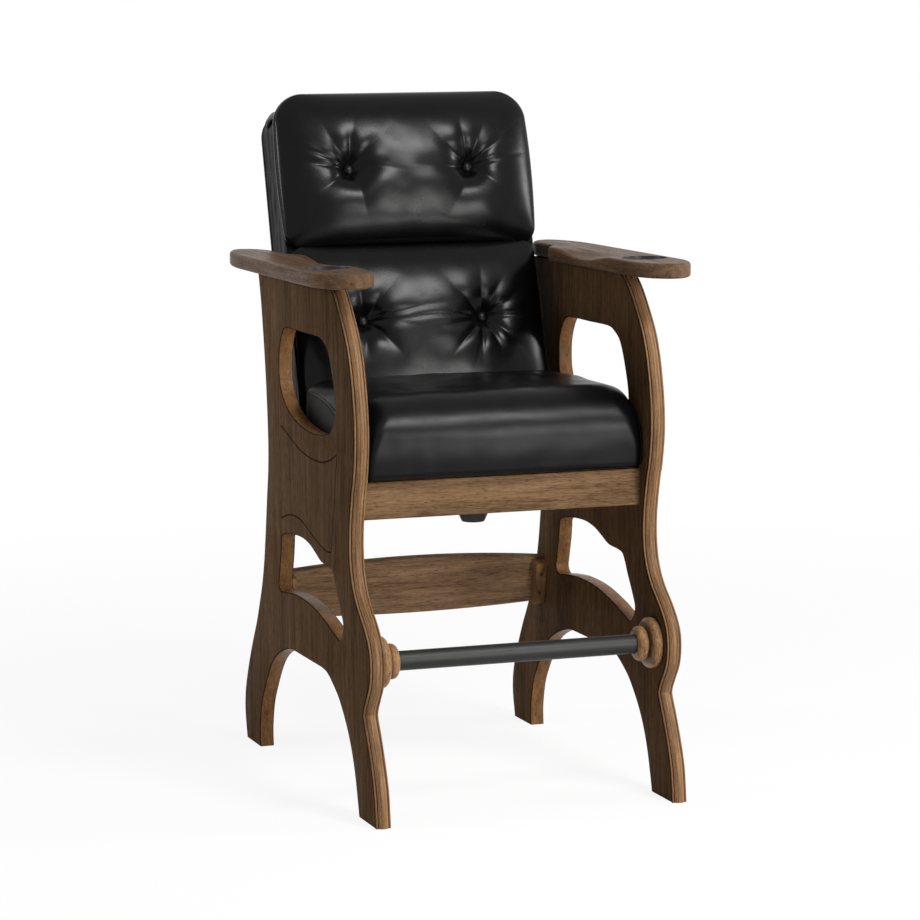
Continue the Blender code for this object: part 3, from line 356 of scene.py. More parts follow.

# Front mouldings. Solid walnut strips bent up the panels' front edges from floor to arm, stained
# lighter: a broad round between two narrow beads, its sides beside the panel in the darker walnut of the panels'
# eased edges.
moulding_rise, bead_rise, moulding_root, bead_width, joint_gap = 0.0091, 0.0052, 0.0030, 0.0042, 0.0003
overlength, groove_reach = 0.03, 0.0014


def moulding_section():
    """Half circles across the strip's width: a bead, the broad round and the other bead; the loop ends
    where it started, after the flat back."""
    half, bead = panel_thickness / 2, bead_width / 2
    start, rounds = [(joint_gap, -half)], []
    for middle, reach, rise, count in ((bead - half, bead, bead_rise, 9), (0, half - bead_width, moulding_rise, 19),
                                       (half - bead, bead, bead_rise, 9)):
        turn = np.linspace(0, np.pi, count)
        out = moulding_root + (rise - moulding_root) * np.sin(turn)
        rounds.append(places(out, middle - reach * np.cos(turn)))
    return np.vstack([start, *rounds, [(joint_gap, half)], start])


def run_along(points):
    """How far along a line each of its points lies."""
    return np.concatenate([[0], np.cumsum(np.linalg.norm(np.diff(points, axis=0), axis=1))])


def strip(section, route):
    """A section carried along a route in the panel's plane. Each row is the section's forward reach
    along the route's left normal and its breadth along X; u runs round the section, v along the route."""
    ahead = np.gradient(route, axis=0)
    ahead /= np.linalg.norm(ahead, axis=1)[:, None]
    left = places(-ahead[:, 1], ahead[:, 0])
    place = route[:, None, :] + left[:, None, :] * section[None, :, :1]
    rows = places(section[:, 1], place[..., 0], place[..., 1])
    return rows, places(run_along(section), run_along(route)[:, None])


def grid_mesh(name, points, uv=None, closed_columns=False, caps=False):
    """Rows of points joined by four-sided faces; caps closes the first and last rows."""
    rows, columns = points.shape[:2]
    i = np.arange(rows - 1)[:, None]
    j = np.arange(columns if closed_columns else columns - 1)[None, :]
    corners = [i * columns + j, i * columns + (j + 1) % columns,
               (i + 1) * columns + (j + 1) % columns, (i + 1) * columns + j]
    faces = np.stack(corners, axis=-1).reshape(-1, 4).tolist()
    if caps:
        faces += [list(range(columns)), list(range((rows - 1) * columns, rows * columns))]
    mesh = bpy.data.meshes.new(name)
    mesh.from_pydata(points.reshape(-1, 3).tolist(), [], faces)
    if uv is not None:
        corner = np.empty(len(mesh.loops), dtype=int)
        mesh.loops.foreach_get("vertex_index", corner)
        layer = mesh.uv_layers.new(name="grain")
        layer.data.foreach_set("uv", uv.reshape(-1, 2)[corner].ravel())
    return mesh


section = moulding_section()
section_run = run_along(section)
groove_runs = [(section_run[index], share) for index, share in
               ((1, 0.9), (9, 0.9), (17, 0.4), (21, 0.4), (29, 0.9), (37, 0.9))]


def in_grooves(wood, place):
    """Painted shade: most in the moulding's four grooves, less in two shallow lines along its round where
    the strip has no groove, fading out over the groove's reach, measured round the section."""
    run = wood.axis(place, "X")
    dark = 0.0
    for groove, share in groove_runs:
        dark = (1.0 - (run - groove).size() / groove_reach).held() * share + dark
    return dark.held()


moulding_walnut = walnut("moulding_walnut", (0.038, 0.0165, 0.0065), (0.330, 0.179, 0.081), (60, 2.2, 1), 0.34,
                         0.12, where="UV", crevice_shade=in_grooves)
route = on_panel(front_edge)
first, last = route[1] - route[0], route[-1] - route[-2]
route = np.vstack([route[0] - first / np.linalg.norm(first) * overlength, route,
                   route[-1] + last / np.linalg.norm(last) * overlength])
for side, side_name in sides:
    rows, uv = strip(section, route)
    rows[..., 0] += side * (clear_half + panel_thickness / 2)
    mesh = merged(grid_mesh("moulding", rows, uv), cuts=((0, -1), (panel_height, 1)))
    piece(side_name + "_moulding", mesh, (moulding_walnut, arris_walnut), "frame",
          (side_name + "_front_moulding",))
    mesh.polygons.foreach_set("material_index", (face_x(mesh, "normal") > side_facing).astype(np.int32))

# Arms. Broad walnut boards screwed down on the panels, round at the nose, drawn in along the inner
# side towards the rear, hollowed beside the seat for the forearm and bored for a cup near the front.
arm_bottom, arm_thickness, arm_easing = 0.9583, 0.028, 0.0065
arm_top = arm_bottom + arm_thickness
arm_inner, arm_outer, arm_tail_inner_x = 0.250, 0.366, 0.272
arm_front, arm_rear = -0.3495 - floor_shift, 0.358 - floor_shift
nose_inner, nose_outer, tail_inner, tail_outer = 0.095, 0.120, 0.076, 0.160
ease_front, ease_rear = 0.165 - floor_shift - 0.01, 0.205 - floor_shift
scoop_front, scoop_rear, scoop_fall, scoop_reach = -0.165 - floor_shift, 0.145 - floor_shift, 0.0132, 0.044
cup_x, cup_y, cup_radius, cup_depth = 0.309, -0.189 - floor_shift, 0.0437, 0.020


def arm_sides(y):
    """Inner and outer sides at each y: straight, with a quarter ellipse at each end and a smooth step
    inwards at the rear of the inner side."""
    nose_middle, nose_half = (arm_inner + arm_outer) / 2, (arm_outer - arm_inner) / 2
    tail_middle, tail_half = (arm_tail_inner_x + arm_outer) / 2, (arm_outer - arm_tail_inner_x) / 2

    def swing(run, start, way):
        return np.sqrt(np.clip(1 - (np.clip((start - y) * way, 0, run) / run) ** 2, 0, 1))

    def ends(way, nose_run, tail_run):
        return (nose_middle + way * nose_half * swing(nose_run, arm_front + nose_run, 1),
                tail_middle + way * tail_half * swing(tail_run, arm_rear - tail_run, -1))

    share = np.clip((y - ease_front) / (ease_rear - ease_front), 0, 1)
    step = arm_inner + (arm_tail_inner_x - arm_inner) * share ** 2 * (3 - 2 * share)
    nose, tail = ends(-1, nose_inner, tail_inner)
    inner = np.where(y < 0, nose, np.where(share < 1, step, tail))
    return inner, np.where(y < 0, *ends(1, nose_outer, tail_outer))


def eased(count):
    """Shares from 0 to 1 that lie closer together at both ends, by half a cosine."""
    return (1 - np.cos(np.linspace(0, np.pi, count))) / 2


def rounding(radius, away):
    """How far a quarter round at an edge draws the surface in, at a distance from that edge."""
    return radius - np.sqrt(np.clip(radius ** 2 - (radius - np.clip(away, 0, radius)) ** 2, 0, None))


def arm_mesh(side):
    """Two sheets over the board's outline, closely spaced at its edges, that fall away as a quarter
    round near the edge; the upper one sinks in the hollow by a bell along y times a smooth step in x."""
    y = arm_front + (arm_rear - arm_front) * eased(141)
    inner, outer = arm_sides(y)
    x = inner[:, None] + (outer - inner)[:, None] * eased(49)
    y = np.broadcast_to(y[:, None], x.shape)
    rim = np.concatenate([places(x[:, end], y[:, end]) for end in (0, -1)])
    rim = np.concatenate([rim, (rim[1:] + rim[:-1]) / 2])
    away = np.sqrt(((x[..., None] - rim[:, 0]) ** 2 + (y[..., None] - rim[:, 1]) ** 2).min(axis=-1))
    fall = rounding(arm_easing, away)
    along = np.clip((y - (scoop_front + scoop_rear) / 2) / (scoop_rear - scoop_front) * 2, -1, 1)
    reach = np.clip((x - inner[:, None]) / scoop_reach, 0, 1)
    hollow = scoop_fall * (1 + np.cos(np.pi * along)) / 2 * (1 - reach ** 2 * (3 - 2 * reach))
    top = places(x * side, y, arm_top - fall - hollow)
    base = places(x * side, y, arm_bottom + fall)
    return merged(grid_mesh("arm", np.concatenate([top, base[:, ::-1]], axis=1), closed_columns=True))


arm_walnut = walnut("arm_walnut", (0.032, 0.0175, 0.0100), (0.165, 0.0990, 0.0570), (13, 0.9, 13), 0.38, 0.025)
for side, side_name in sides:
    arm = piece(side_name + "_armrest", arm_mesh(side), (arm_walnut,), "frame", (side_name + "_arm",),
                smooth=38)
    steps = np.linspace(0, 2 * np.pi, 97)[:-1]
    ring = places(side * cup_x + (cup_radius + joint_gap) * np.cos(steps),
                  cup_y + (cup_radius + joint_gap) * np.sin(steps), 0)
    bore = np.stack([ring + (0, 0, arm_top - cup_depth - joint_gap), ring + (0, 0, arm_top + 0.01)])
    cut(arm, merged(grid_mesh("bore", bore, closed_columns=True, caps=True)))
    arm.data.set_sharp_from_angle(angle=math.radians(38))

# Cup liners. Shallow pressed cups of black plastic, dropped into the bored wells, with a raised lip
# that stands just proud of the wood and a finely ribbed floor.
liner_wall, liner_lip = 0.002, 0.0008


def turned(profile, centre, axis, way=1, steps=72):
    """A profile of (radius, height) points turned about an axis through a centre, as rows round it."""
    angle = np.linspace(0, 2 * np.pi, steps + 1)[:-1]
    profile = np.asarray(profile)
    radius, along = profile[:, None, 0], profile[:, None, 1] * way
    one, two = radius * np.cos(angle), radius * np.sin(angle)
    order = {"x": (along, one, two), "z": (one, two, along)}[axis]
    return merged(grid_mesh("turned", places(*order) + centre, closed_columns=True))


def moulded(name, colour, rough, grain=1400, strength=0.08):
    """Satin moulded plastic or powder paint: a flat colour with a faint orange-peel bump."""
    paint = Finish(name, gloss=0.26)
    place = paint.place()
    peel = paint.noise(place, grain)
    cloud = paint.noise(place, 30.0)
    shade = paint.mix(cloud, [part * 0.8 for part in colour], [part * 1.25 for part in colour])
    bumped = paint.bump(peel, strength, 0.0003)
    return paint.feed(colour=shade, rough=rough + (cloud - 0.5) * 0.12, normal=bumped)


black_plastic = moulded("black_plastic", (0.016, 0.016, 0.018), 0.42)
liner_inner, liner_low, rib_half, rib_rise = cup_radius - liner_wall, -cup_depth + liner_wall, 0.0008, 0.0004
liner_profile = [(0, liner_low)]
for rib in np.linspace(0.006, 0.036, 11):
    liner_profile += [(rib - rib_half, liner_low), (rib, liner_low + rib_rise), (rib + rib_half, liner_low)]
liner_profile += [(liner_inner - 0.003, liner_low), (liner_inner - 0.0008, liner_low + 0.0012),
                  (liner_inner, liner_low + 0.004)]
liner_profile += [(cup_radius - liner_wall / 2 + liner_wall / 2 * math.cos(turn), liner_lip * math.sin(turn))
                  for turn in np.linspace(np.pi, 0, 9)]
liner_profile += [(cup_radius, -0.001), (cup_radius, -cup_depth), (0, -cup_depth)]
for side, side_name in sides:
    piece(side_name + "_cup", turned(liner_profile, (side * cup_x, cup_y, arm_top), "z"), (black_plastic,),
          "frame", (side_name + "_cup_liner",))

# Rosettes. Turned walnut bosses screwed to the panels' inner faces: a fat ring, a cove and a small
# ring, bored through to take the ends of the foot rail.
rail_y, rail_z, rail_radius, rail_wall = -0.3290 - floor_shift, 0.2850, 0.018, 0.002
rosette_length, big_radius, small_radius, neck_radius = 0.041, 0.0475, 0.0325, 0.0300
rosette_side = flowing([
    (big_radius * 0.93, 0.0), (big_radius * 0.975, 0.07), (big_radius, 0.22), (big_radius * 0.97, 0.36),
    (big_radius * 0.87, 0.465), (neck_radius * 1.12, 0.52), (neck_radius, 0.56), (small_radius * 0.985, 0.64),
    (small_radius, 0.74), (small_radius * 0.96, 0.86), (small_radius * 0.86, 0.95), (small_radius * 0.72, 1.0),
], 5) * (1, rosette_length - joint_gap)
rosette_side[:, 0] = rosette_side[:, 0].clip(0, big_radius)
bore = rail_radius + joint_gap
rosette_profile = np.vstack([rosette_side, [(bore, rosette_length - joint_gap), (bore, 0), rosette_side[0]]])


def in_coves(wood, place):
    """Painted shade: 1 where a boss meets its panel and nearly 1 in the cove between its rings, 0 from 2.5
    and 3 mm off them."""
    out = clear_half - wood.axis(place, "X").size()
    cove = (1.0 - (out - rosette_length * 0.54).size() / 0.0030).held()
    foot = (1.0 - out.size() / 0.0025).held()
    return (cove * 0.9 + foot).held()


turned_walnut = walnut("turned_walnut", (0.055, 0.026, 0.010), (0.385, 0.212, 0.092), (14, 14, 1.4), 0.28, 0.12,
                       crevice_shade=in_coves)
for side, side_name in sides:
    face = side * (clear_half - joint_gap)
    piece(side_name + "_boss", turned(rosette_profile, (face, rail_y, rail_z), "x", -side),
          (turned_walnut,), "frame", (side_name + "_rosette",))

# Foot rail. A straight steel tube with a satin black powder coat, its ends pushed into the two bosses
# that hold it between the panels.
rail_half = clear_half - joint_gap * 2
rail_paint = moulded("rail_paint", (0.013, 0.013, 0.0125), 0.46, 900, 0.12)
rail_profile = [(rail_radius - rail_wall, rail_half), (rail_radius, rail_half), (rail_radius, -rail_half),
                (rail_radius - rail_wall, -rail_half), (rail_radius - rail_wall, rail_half)]
piece("steel_foot_rail", turned(rail_profile, (0, rail_y, rail_z), "x"), (rail_paint,), "frame",
      ("foot_rail",))

# Front apron. A flat walnut rail dowelled between the panels under the front of the seat, its long
# edges rounded; it hides the tilt mechanism.
apron_front, apron_rear, apron_bottom, apron_top = -0.258 - floor_shift, -0.238 - floor_shift, 0.5325, 0.6015
board_half, apron_easing = clear_half - joint_gap, 0.003


def bar(name, width, depth, easing, count, place):
    """A rounded rectangle carried along a run, where place(across, up, share) puts it; the two ends
    are drawn in by a small easing and closed."""
    corner = np.linspace(0, np.pi / 2, 5)
    quarter = places(np.cos(corner), np.sin(corner)) * easing
    middle = (width / 2 - easing, depth / 2 - easing)
    loop = np.vstack([(quarter[::way] + middle) * flip
                      for way, flip in ((1, (1, 1)), (-1, (-1, 1)), (1, (-1, -1)), (-1, (1, -1)))])
    inside = [(share, 0) for share in np.linspace(0.004, 0.996, count)]
    rows = []
    for share, drawn in [(0, easing * 0.35), (0, 0), *inside, (1, 0), (1, easing * 0.35)]:
        row = loop * (1 - drawn * 2 / width, 1 - drawn * 2 / depth)
        rows.append(place(row[:, 0], row[:, 1], share))
    return merged(grid_mesh(name, np.array(rows), closed_columns=True, caps=True))


def apron_place(across, up, share):
    """Straight from panel to panel, about the middle of the apron."""
    return places(board_half * (2 * share - 1), across + (apron_front + apron_rear) / 2,
                  up + (apron_bottom + apron_top) / 2)


rail_walnut = walnut("rail_walnut", (0.046, 0.025, 0.012), (0.204, 0.120, 0.062), (0.8, 12, 14), 0.5)
piece("seat_apron", bar("apron", apron_rear - apron_front, apron_top - apron_bottom, apron_easing, 9, apron_place),
      (rail_walnut,), "frame", ("front_apron",), smooth=40)

# Lower rear stretcher. A bowed walnut board that leans forward behind the legs, screwed from the
# front through a small upright cleat at each end.
stretcher_y, stretcher_z, stretcher_lean = 0.2605 - floor_shift, 0.3125, math.radians(14.6)
stretcher_height, stretcher_rise, stretcher_fall, stretcher_thickness = 0.094, 0.0145, 0.0095, 0.019
stretcher_easing = 0.0028


def leaning(across, deep, height, foot, lean):
    """A place on something that leans forward about its foot, deep counted rearwards through it."""
    turn, tip = math.cos(lean), math.sin(lean)
    return places(across, foot[0] + deep * turn - height * tip, foot[1] + deep * tip + height * turn)


def stretcher_place(across, up, share):
    """The board's height grows towards its middle by a parabola, more above than below."""
    bow = 1 - (2 * share - 1) ** 2
    height = up + np.where(up > 0, stretcher_rise, -stretcher_fall) * bow
    return leaning(board_half * (2 * share - 1), across + stretcher_thickness / 2, height,
                   (stretcher_y, stretcher_z), stretcher_lean)


def dress(finish, *nodes):
    """A finish for solids that are shown as they are."""
    for node in nodes:
        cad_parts[node].data.materials.clear()
        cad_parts[node].data.materials.append(finish)


# A lighter copy of the apron's rail walnut: painted light that makes up for the shade the leaning stretcher stands
# in behind the legs.
stretcher_brightened_walnut = walnut("stretcher_brightened_walnut", (0.085, 0.049, 0.027), (0.320, 0.200, 0.112), (0.8, 12, 14), 0.5)
piece("rear_stretcher",
      bar("stretcher", stretcher_thickness, stretcher_height, stretcher_easing, 41, stretcher_place),
      (stretcher_brightened_walnut,), "frame", ("lower_stretcher",), smooth=40)
dress(walnut("cleat_walnut", (0.105, 0.054, 0.025), (0.330, 0.185, 0.090), (16, 16, 1.2), 0.42),
      "left_stretcher_cleat", "right_stretcher_cleat")

# Mechanism board, its side cleats and the seat board. Birch plywood left bare, hidden by the apron
# and the cushion and seen only from below.
ply_thickness = 0.0015


def plywood():
    """Bare rotary-cut birch: broad pale figure along X, and every second ply dark on the edges."""
    ply = Finish("bare_plywood", gloss=0.3)
    place = ply.place()
    grain = ply.stretched(place, (2.0, 16, 16))
    figure = ply.noise(grain, 1.0, 3.0, 0.55, 1.2)
    fibre = ply.noise(grain, 30.0)
    pair = (ply.axis(place, "Z") / ply_thickness).floor() / 2.0
    upright = ply.axis(ply.node("NewGeometry", output="Normal"), "Z").size()
    odd = (pair - pair.floor()) * 2.0 * (upright < 0.5)
    colour = ply.mix((figure * 1.3 + fibre * 0.5 - 0.4).held(), (0.26, 0.155, 0.080), (0.46, 0.32, 0.19))
    colour = ply.mix(odd * 0.6, colour, (0.16, 0.085, 0.042))
    return ply.feed(colour=colour, rough=0.62 + figure * 0.15, normal=ply.bump(fibre, 0.25, 0.0005))


dress(plywood(), "mechanism_board", "left_seat_cleat", "right_seat_cleat", "seat_board")

# Tilt mechanism and straps. Pressed steel plates and straps, a pin, bolts and screws with a dull zinc
# plating, bolted to the boards and to the back's core; the stretcher's cleats have black screws.
def zinc():
    """Zinc plate: grey metal whose roughness drifts in soft spangles, with fine handling marks."""
    plate = Finish("zinc_plate", metal=1.0)
    place = plate.place()
    spangle = plate.noise(place, 120.0)
    marks = plate.noise(plate.stretched(place, (1, 8, 1)), 260.0)
    colour = plate.mix(spangle, (0.36, 0.36, 0.37), (0.52, 0.52, 0.53))
    return plate.feed(colour=colour, rough=0.30 + spangle * 0.22, normal=plate.bump(marks, 0.08, 0.0002))


zinc_plate = zinc()
dress(zinc_plate, "base_channel", "pivot_pin", "seat_plate", "tension_bolt", "left_back_strap", "right_back_strap",
      "left_strap_bolt", "right_strap_bolt",
      *(kind + "_" + end + "_" + hand for kind in ("base_bolt", "plate_screw")
        for end in ("front", "rear") for hand in ("left", "right")))
dress(moulded("black_screw", (0.020, 0.019, 0.018), 0.35),
      *(hand + "_" + level + "_cleat_screw" for hand in ("left", "right") for level in ("upper", "lower")))

# Tension knob. A black plastic cup threaded on the tension bolt, its foot tapered, its top rim
# straight, hollow inside for the spring.
tension_y, knob_bottom, knob_height, knob_flare = -0.096 - floor_shift, 0.4945, 0.0280, 0.0155
knob_top, knob_foot, knob_well, knob_floor = 0.0285, 0.0215, 0.022, 0.0105
knob_profile = [
    (0, 0.003), (0.0053, 0.003), (0.0053, knob_floor), (knob_well - 0.001, knob_floor),
    (knob_well, knob_floor + 0.001), (knob_well, knob_height - 0.0005), (knob_well + 0.0005, knob_height),
    (knob_top - 0.001, knob_height), (knob_top, knob_height - 0.001), (knob_top, knob_flare + 0.0008),
    (knob_top - 0.0006, knob_flare - 0.0006), (knob_foot + 0.0004, 0.0018), (knob_foot - 0.0006, 0.0003),
    (knob_foot - 0.002, 0), (0.012, 0), (0.0115, 0.0006), (0.0105, 0.0006), (0.010, 0), (0, 0),
]
piece("tension_hand_knob", turned(knob_profile, (0, tension_y, knob_bottom), "z"), (black_plastic,), "knob",
      ("tension_knob",), smooth=40)

# Tension spring. A coil of round zinc-plated wire round the bolt, held between the base channel and
# the knob's floor; it is left on no body, though its foot would follow the tipping seat while its head stays with
# the frame.
coil_low, coil_high = (corner[2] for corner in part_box("tension_spring"))
coil_radius, coil_wire, coil_turns = 0.0145, 0.0020, 5
coil_low, coil_high = coil_low + coil_wire, coil_high - coil_wire
coil_run = np.linspace(0, 1, coil_turns * 24 + 1)
coil_turn = 2 * np.pi * coil_turns * coil_run
coil_line = places(coil_radius * np.cos(coil_turn), tension_y + coil_radius * np.sin(coil_turn),
                   coil_low + (coil_high - coil_low) * coil_run)
coil = piece("tension_coil", wire_mesh("tension_coil", coil_line, coil_wire), (zinc_plate,), None,
             ("tension_spring",), smooth=60)
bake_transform(coil)

# Seat cushion. A foam block in glossy black leather: a crowned top panel that rolls over the front,
# a boxed panel at each side, and a thin welt sewn into the seam between them.
cushion_low, cushion_half, cushion_top = 0.6045, 0.2712, 0.7560
cushion_front, cushion_foot_roll = -0.2820 - floor_shift, 0.014
back_y, back_z, back_lean = 0.1528 - floor_shift, 0.620, math.radians(15.75)
low_easing, top_easing, pillow_room = 0.019, 0.060, 0.0630
welt_x, seat_welt_radius, seat_welt_low = 0.2685, 0.0018, 0.0024


def leather(name, gloss, rough):
    """Lightly creased black leather: a pebble grain of small cells, faint long creases, and a gloss
    that drifts a little duller and brighter in soft patches and fine flecks."""
    hide = Finish(name, gloss=gloss)
    place = hide.place()
    bent = hide.noise(place, 22.0, 3.0, 0.6)
    pebble = hide.node("TexVoronoi", {"Vector": place, "Scale": 620.0}, "Distance", feature="F1")
    crease = hide.noise(hide.stretched(place, (1.0, 1.0, 2.2)), 40.0, 3.0, 0.55, 0.3)
    fine = hide.noise(place, 210.0, 3.0, 0.6)
    colour = hide.mix(bent, (0.0008, 0.0008, 0.0009), (0.0018, 0.0018, 0.0020))
    bumped = hide.bump(crease * 0.45 + fine * 0.10 - pebble * 0.04, 0.13, 0.0012)
    return hide.feed(colour=colour, rough=rough + (bent - 0.5) * 0.14 + (fine - 0.5) * 0.08, normal=bumped)


def ripples(a, b, seed, waves, short, long):
    """Soft unevenness between about -1 and 1: waves in fixed chance directions and phases, whose
    lengths run from short to long, the longer ones higher."""
    chance = np.random.default_rng(seed)
    angle, phase = chance.uniform(0, np.pi, waves), chance.uniform(0, 2 * np.pi, waves)
    length = short * (long / short) ** chance.uniform(0, 1, waves)
    weight = length / length.sum()
    total = 0
    for turn, start, span, share in zip(angle, phase, length, weight):
        total = total + share * np.cos(2 * np.pi * (a * math.cos(turn) + b * math.sin(turn)) / span + start)
    return total * 1.6


def back_place(across, deep, height):
    """A place in the back, which leans rearwards, as a place on the stool."""
    return leaning(across, deep, height, (back_y, back_z), -back_lean)


def lid(loop, rings):
    """Rings that shrink from a loop to its middle."""
    share = np.linspace(1, 0, rings + 1)[1:, None, None]
    return loop.mean(axis=0) + (loop - loop.mean(axis=0)) * share


def closed_loops(loops, rings):
    """Loops of equal count with a lid at both ends."""
    return np.concatenate([lid(loops[0], rings)[::-1], loops, lid(loops[-1], rings)])


def arc(middle, radius, start, end, points):
    """Points along a circle or an ellipse, from one angle to another in degrees."""
    turn = np.radians(np.linspace(start, end, points))
    return places(np.cos(turn), np.sin(turn)) * radius + middle


def cushion_side():
    """The cushion's outline seen from the side, from the rear foot round by the front: a flat foot, a
    small foot roll, an upright front, a big top roll, a crowned top and a rear face on the back's slope."""
    slope = math.tan(back_lean)
    rear_low = back_y - pillow_room / math.cos(back_lean) + (cushion_low - back_z) * slope
    rear_high = rear_low + (cushion_top - cushion_low) * slope
    foot = arc((cushion_front + cushion_foot_roll, cushion_low + cushion_foot_roll), cushion_foot_roll, 270, 180, 9)
    front = places(cushion_front - 0.003 * np.sin(np.linspace(0.2, np.pi / 2, 9)),
                   np.linspace(cushion_low + 0.020, cushion_top - 0.092, 9))
    brow = arc((cushion_front + 0.080, cushion_top - 0.088), (0.083, 0.088), 178, 92, 27)
    top_y = np.linspace(cushion_front + 0.084, rear_high - 0.030, 40)
    share = (top_y - top_y[0]) / (top_y[-1] - top_y[0])
    top = places(top_y, cushion_top + 0.004 * np.sin(np.pi * share) - 0.004 * share)
    nape = arc((rear_high - 0.026, cushion_top - 0.024), (0.022, 0.020), 85, 5, 9)
    rear_z = np.linspace(cushion_top - 0.034, cushion_low + 0.014, 12)
    rear = places(rear_low + (rear_z - cushion_low) * slope, rear_z)
    heel = arc((rear_low - 0.010, cushion_low + 0.010), (0.012, 0.010), -5, -90, 6)
    sole = places(np.linspace(rear_low - 0.02, cushion_front + 0.02, 20), cushion_low)
    return np.vstack([foot, front, brow, top, nape, rear, heel, sole])


def cushion_loop(x):
    """The side outline at one place across the seat. Towards each side it draws in as a quarter
    round, small at the foot and big at the top; the top also crowns across and ripples softly."""
    outline = cushion_side()
    middle = np.array([outline[:, 0].mean(), (cushion_low + cushion_top) / 2])
    inward = (middle - outline) / np.linalg.norm(middle - outline, axis=1)[:, None]
    away, share = cushion_half - abs(x), 1 - x ** 2 / cushion_half ** 2
    upper = np.clip((outline[:, 1] - cushion_low - 0.03) / 0.10, 0, 1)
    easing = low_easing + (top_easing - low_easing) * upper ** 1.5
    loop = outline + inward * rounding(easing, away)[:, None]
    crown = (share ** 0.6 - 0.75) * 0.006 * upper
    soft = ripples(x, outline[:, 0] + outline[:, 1], 5, 30, 0.03, 0.17)
    flank = np.clip((middle[0] - outline[:, 0]) / 0.2, 0, 1) * (1 - upper) * 0.004 * (share - 0.6)
    height = np.maximum(loop[:, 1] + crown + 0.0021 * soft * upper, cushion_low)
    return places(x, loop[:, 0] - flank + 0.0012 * soft, height)


def crowded(count):
    """Shares from -1 to 1 that lie closer together at both ends, by a sine."""
    return np.sin(np.linspace(-np.pi / 2, np.pi / 2, count))


def cushion_mesh():
    """The cushion's loops from side to side, closer together near the sides, closed at both ends."""
    loops = np.array([cushion_loop(x) for x in cushion_half * crowded(141)])
    return merged(grid_mesh("cushion", closed_loops(loops, 8), closed_columns=True))


def stuffed(name, mesh, finishes, node):
    """A leather piece over foam or wadding."""
    item = piece(name, mesh, finishes, "seat_unit", (node,), smooth=60)


black_leather = leather("black_leather", 0.12, 0.32)
side_leather = leather("side_leather", 0.035, 0.40)
mesh = cushion_mesh()
stuffed("seat_pad", mesh, (black_leather, side_leather), "seat_cushion")
mesh.polygons.foreach_set("material_index", (face_x(mesh, "center") > welt_x).astype(np.int32))


def welt(name, line, radius, closed=True):
    """A sewn-in cord of leather: a round wire along a line."""
    piece(name, wire_mesh(name, line, radius, closed), (black_leather,), "seat_unit", smooth=60)


for side, side_name in sides:
    line = cushion_loop(side * welt_x)
    line[:, 2] = np.maximum(line[:, 2], cushion_low + seat_welt_low)
    welt("seat_welt_" + side_name, line, seat_welt_radius)

# Back core and rear panel. A foam-padded frame boxed in leather with soft upright folds in its
# sides, welts round its front and rear edges, and a flat leather panel tacked on behind.
core_half, core_height, core_depth, core_corner, core_easing = 0.254, 0.678, 0.100, 0.054, 0.006
core_foot_corner, cover_inset, cover_rear, cover_easing = 0.008, 0.006, core_depth + 0.0123, 0.004
welt_inset, welt_deep, back_welt_radius, core_folds, cover_folds = 0.001, 0.003, 0.0024, 0.0020, 0.0004


def back_outline(half, foot, top, corner):
    """A loop that is nearly square at the foot and rounded at the top, evenly filled with points."""
    low = core_foot_corner
    corners = [arc(middle, radius, start, start + 90, 13) for start, radius, middle in (
        (0, corner, (half - corner, top - corner)), (90, corner, (corner - half, top - corner)),
        (180, low, (low - half, foot + low)), (270, low, (half - low, foot + low)))]
    loop = []
    for index, points in enumerate(corners):
        start, end, count = points[-1], corners[(index + 1) % 4][0], (40, 60)[index % 2]
        loop += [points, start + (end - start) * np.linspace(0, 1, count + 2)[1:-1, None]]
    return np.vstack(loop)


def outward_of(loop):
    """The direction square to a loop at each of its points, away from its inside."""
    ahead = np.roll(loop, -1, axis=0) - np.roll(loop, 1, axis=0)
    return places(ahead[:, 1], -ahead[:, 0]) / np.linalg.norm(ahead, axis=1)[:, None].clip(1e-9)


def boxed_mesh(half, foot, top, corner, front, rear, easing, folds, seed):
    """The back's outline carried rearwards, drawn in by quarter rounds at the front and rear edges,
    its sides puckered by folds that fade towards the edges."""
    outline = back_outline(half, foot, top, corner)
    outward, loops = outward_of(outline), []
    for share in eased(25):
        deep = front + (rear - front) * share
        drawn = rounding(easing, min(deep - front, rear - deep))
        uneven = ripples(outline[:, 0] + 3 * deep, outline[:, 1], seed, 22, 0.02, 0.09)
        pucker = folds * math.sin(math.pi * share) ** 0.7 * (uneven - 0.6)
        loop = outline + outward * (pucker - drawn)[:, None]
        loops.append(back_place(loop[:, 0], deep, loop[:, 1]))
    return merged(grid_mesh("boxed", closed_loops(np.array(loops), 4), closed_columns=True))


stuffed("back_boxing",
        boxed_mesh(core_half, 0, core_height, core_corner, 0, core_depth, core_easing, core_folds, 11),
        (side_leather,), "back_core")
stuffed("back_rear_cover",
        boxed_mesh(core_half - cover_inset, cover_inset, core_height - cover_inset, core_corner - cover_inset,
                   core_depth + joint_gap, cover_rear, cover_easing, cover_folds, 12),
        (black_leather,), "back_rear_panel")
loop = back_outline(core_half - welt_inset, welt_inset, core_height - welt_inset, core_corner)
for welt_name, deep in (("back_front_welt", welt_deep), ("back_rear_welt", core_depth - welt_deep)):
    welt(welt_name, back_place(loop[:, 0], deep, loop[:, 1]), back_welt_radius)

# Corner ears. Where the boxing turns over at its top corners, its spare leather is folded into two
# small ears that stand up from the edge.
ear_radius, ear_sink, ear_swing, ear_steps = 0.0044, 0.0012, 0.14, 19
arch = np.sin(np.linspace(0, np.pi, ear_steps))
for side, side_name in sides:
    for ear, degrees, lift, deep_from, deep_to in (("front", 20, 0.0052, -0.008, 0.064),
                                                   ("rear", 37, 0.0034, 0.020, 0.090)):
        deep, swing = np.linspace(deep_from, deep_to, ear_steps), math.radians(degrees) + ear_swing * arch
        out = core_corner - ear_sink + lift * arch
        across = core_half - core_corner + out * np.cos(swing)
        up = core_height - core_corner + out * np.sin(swing)
        welt(side_name + "_" + ear + "_ear", back_place(side * across, deep, up), ear_radius, closed=False)

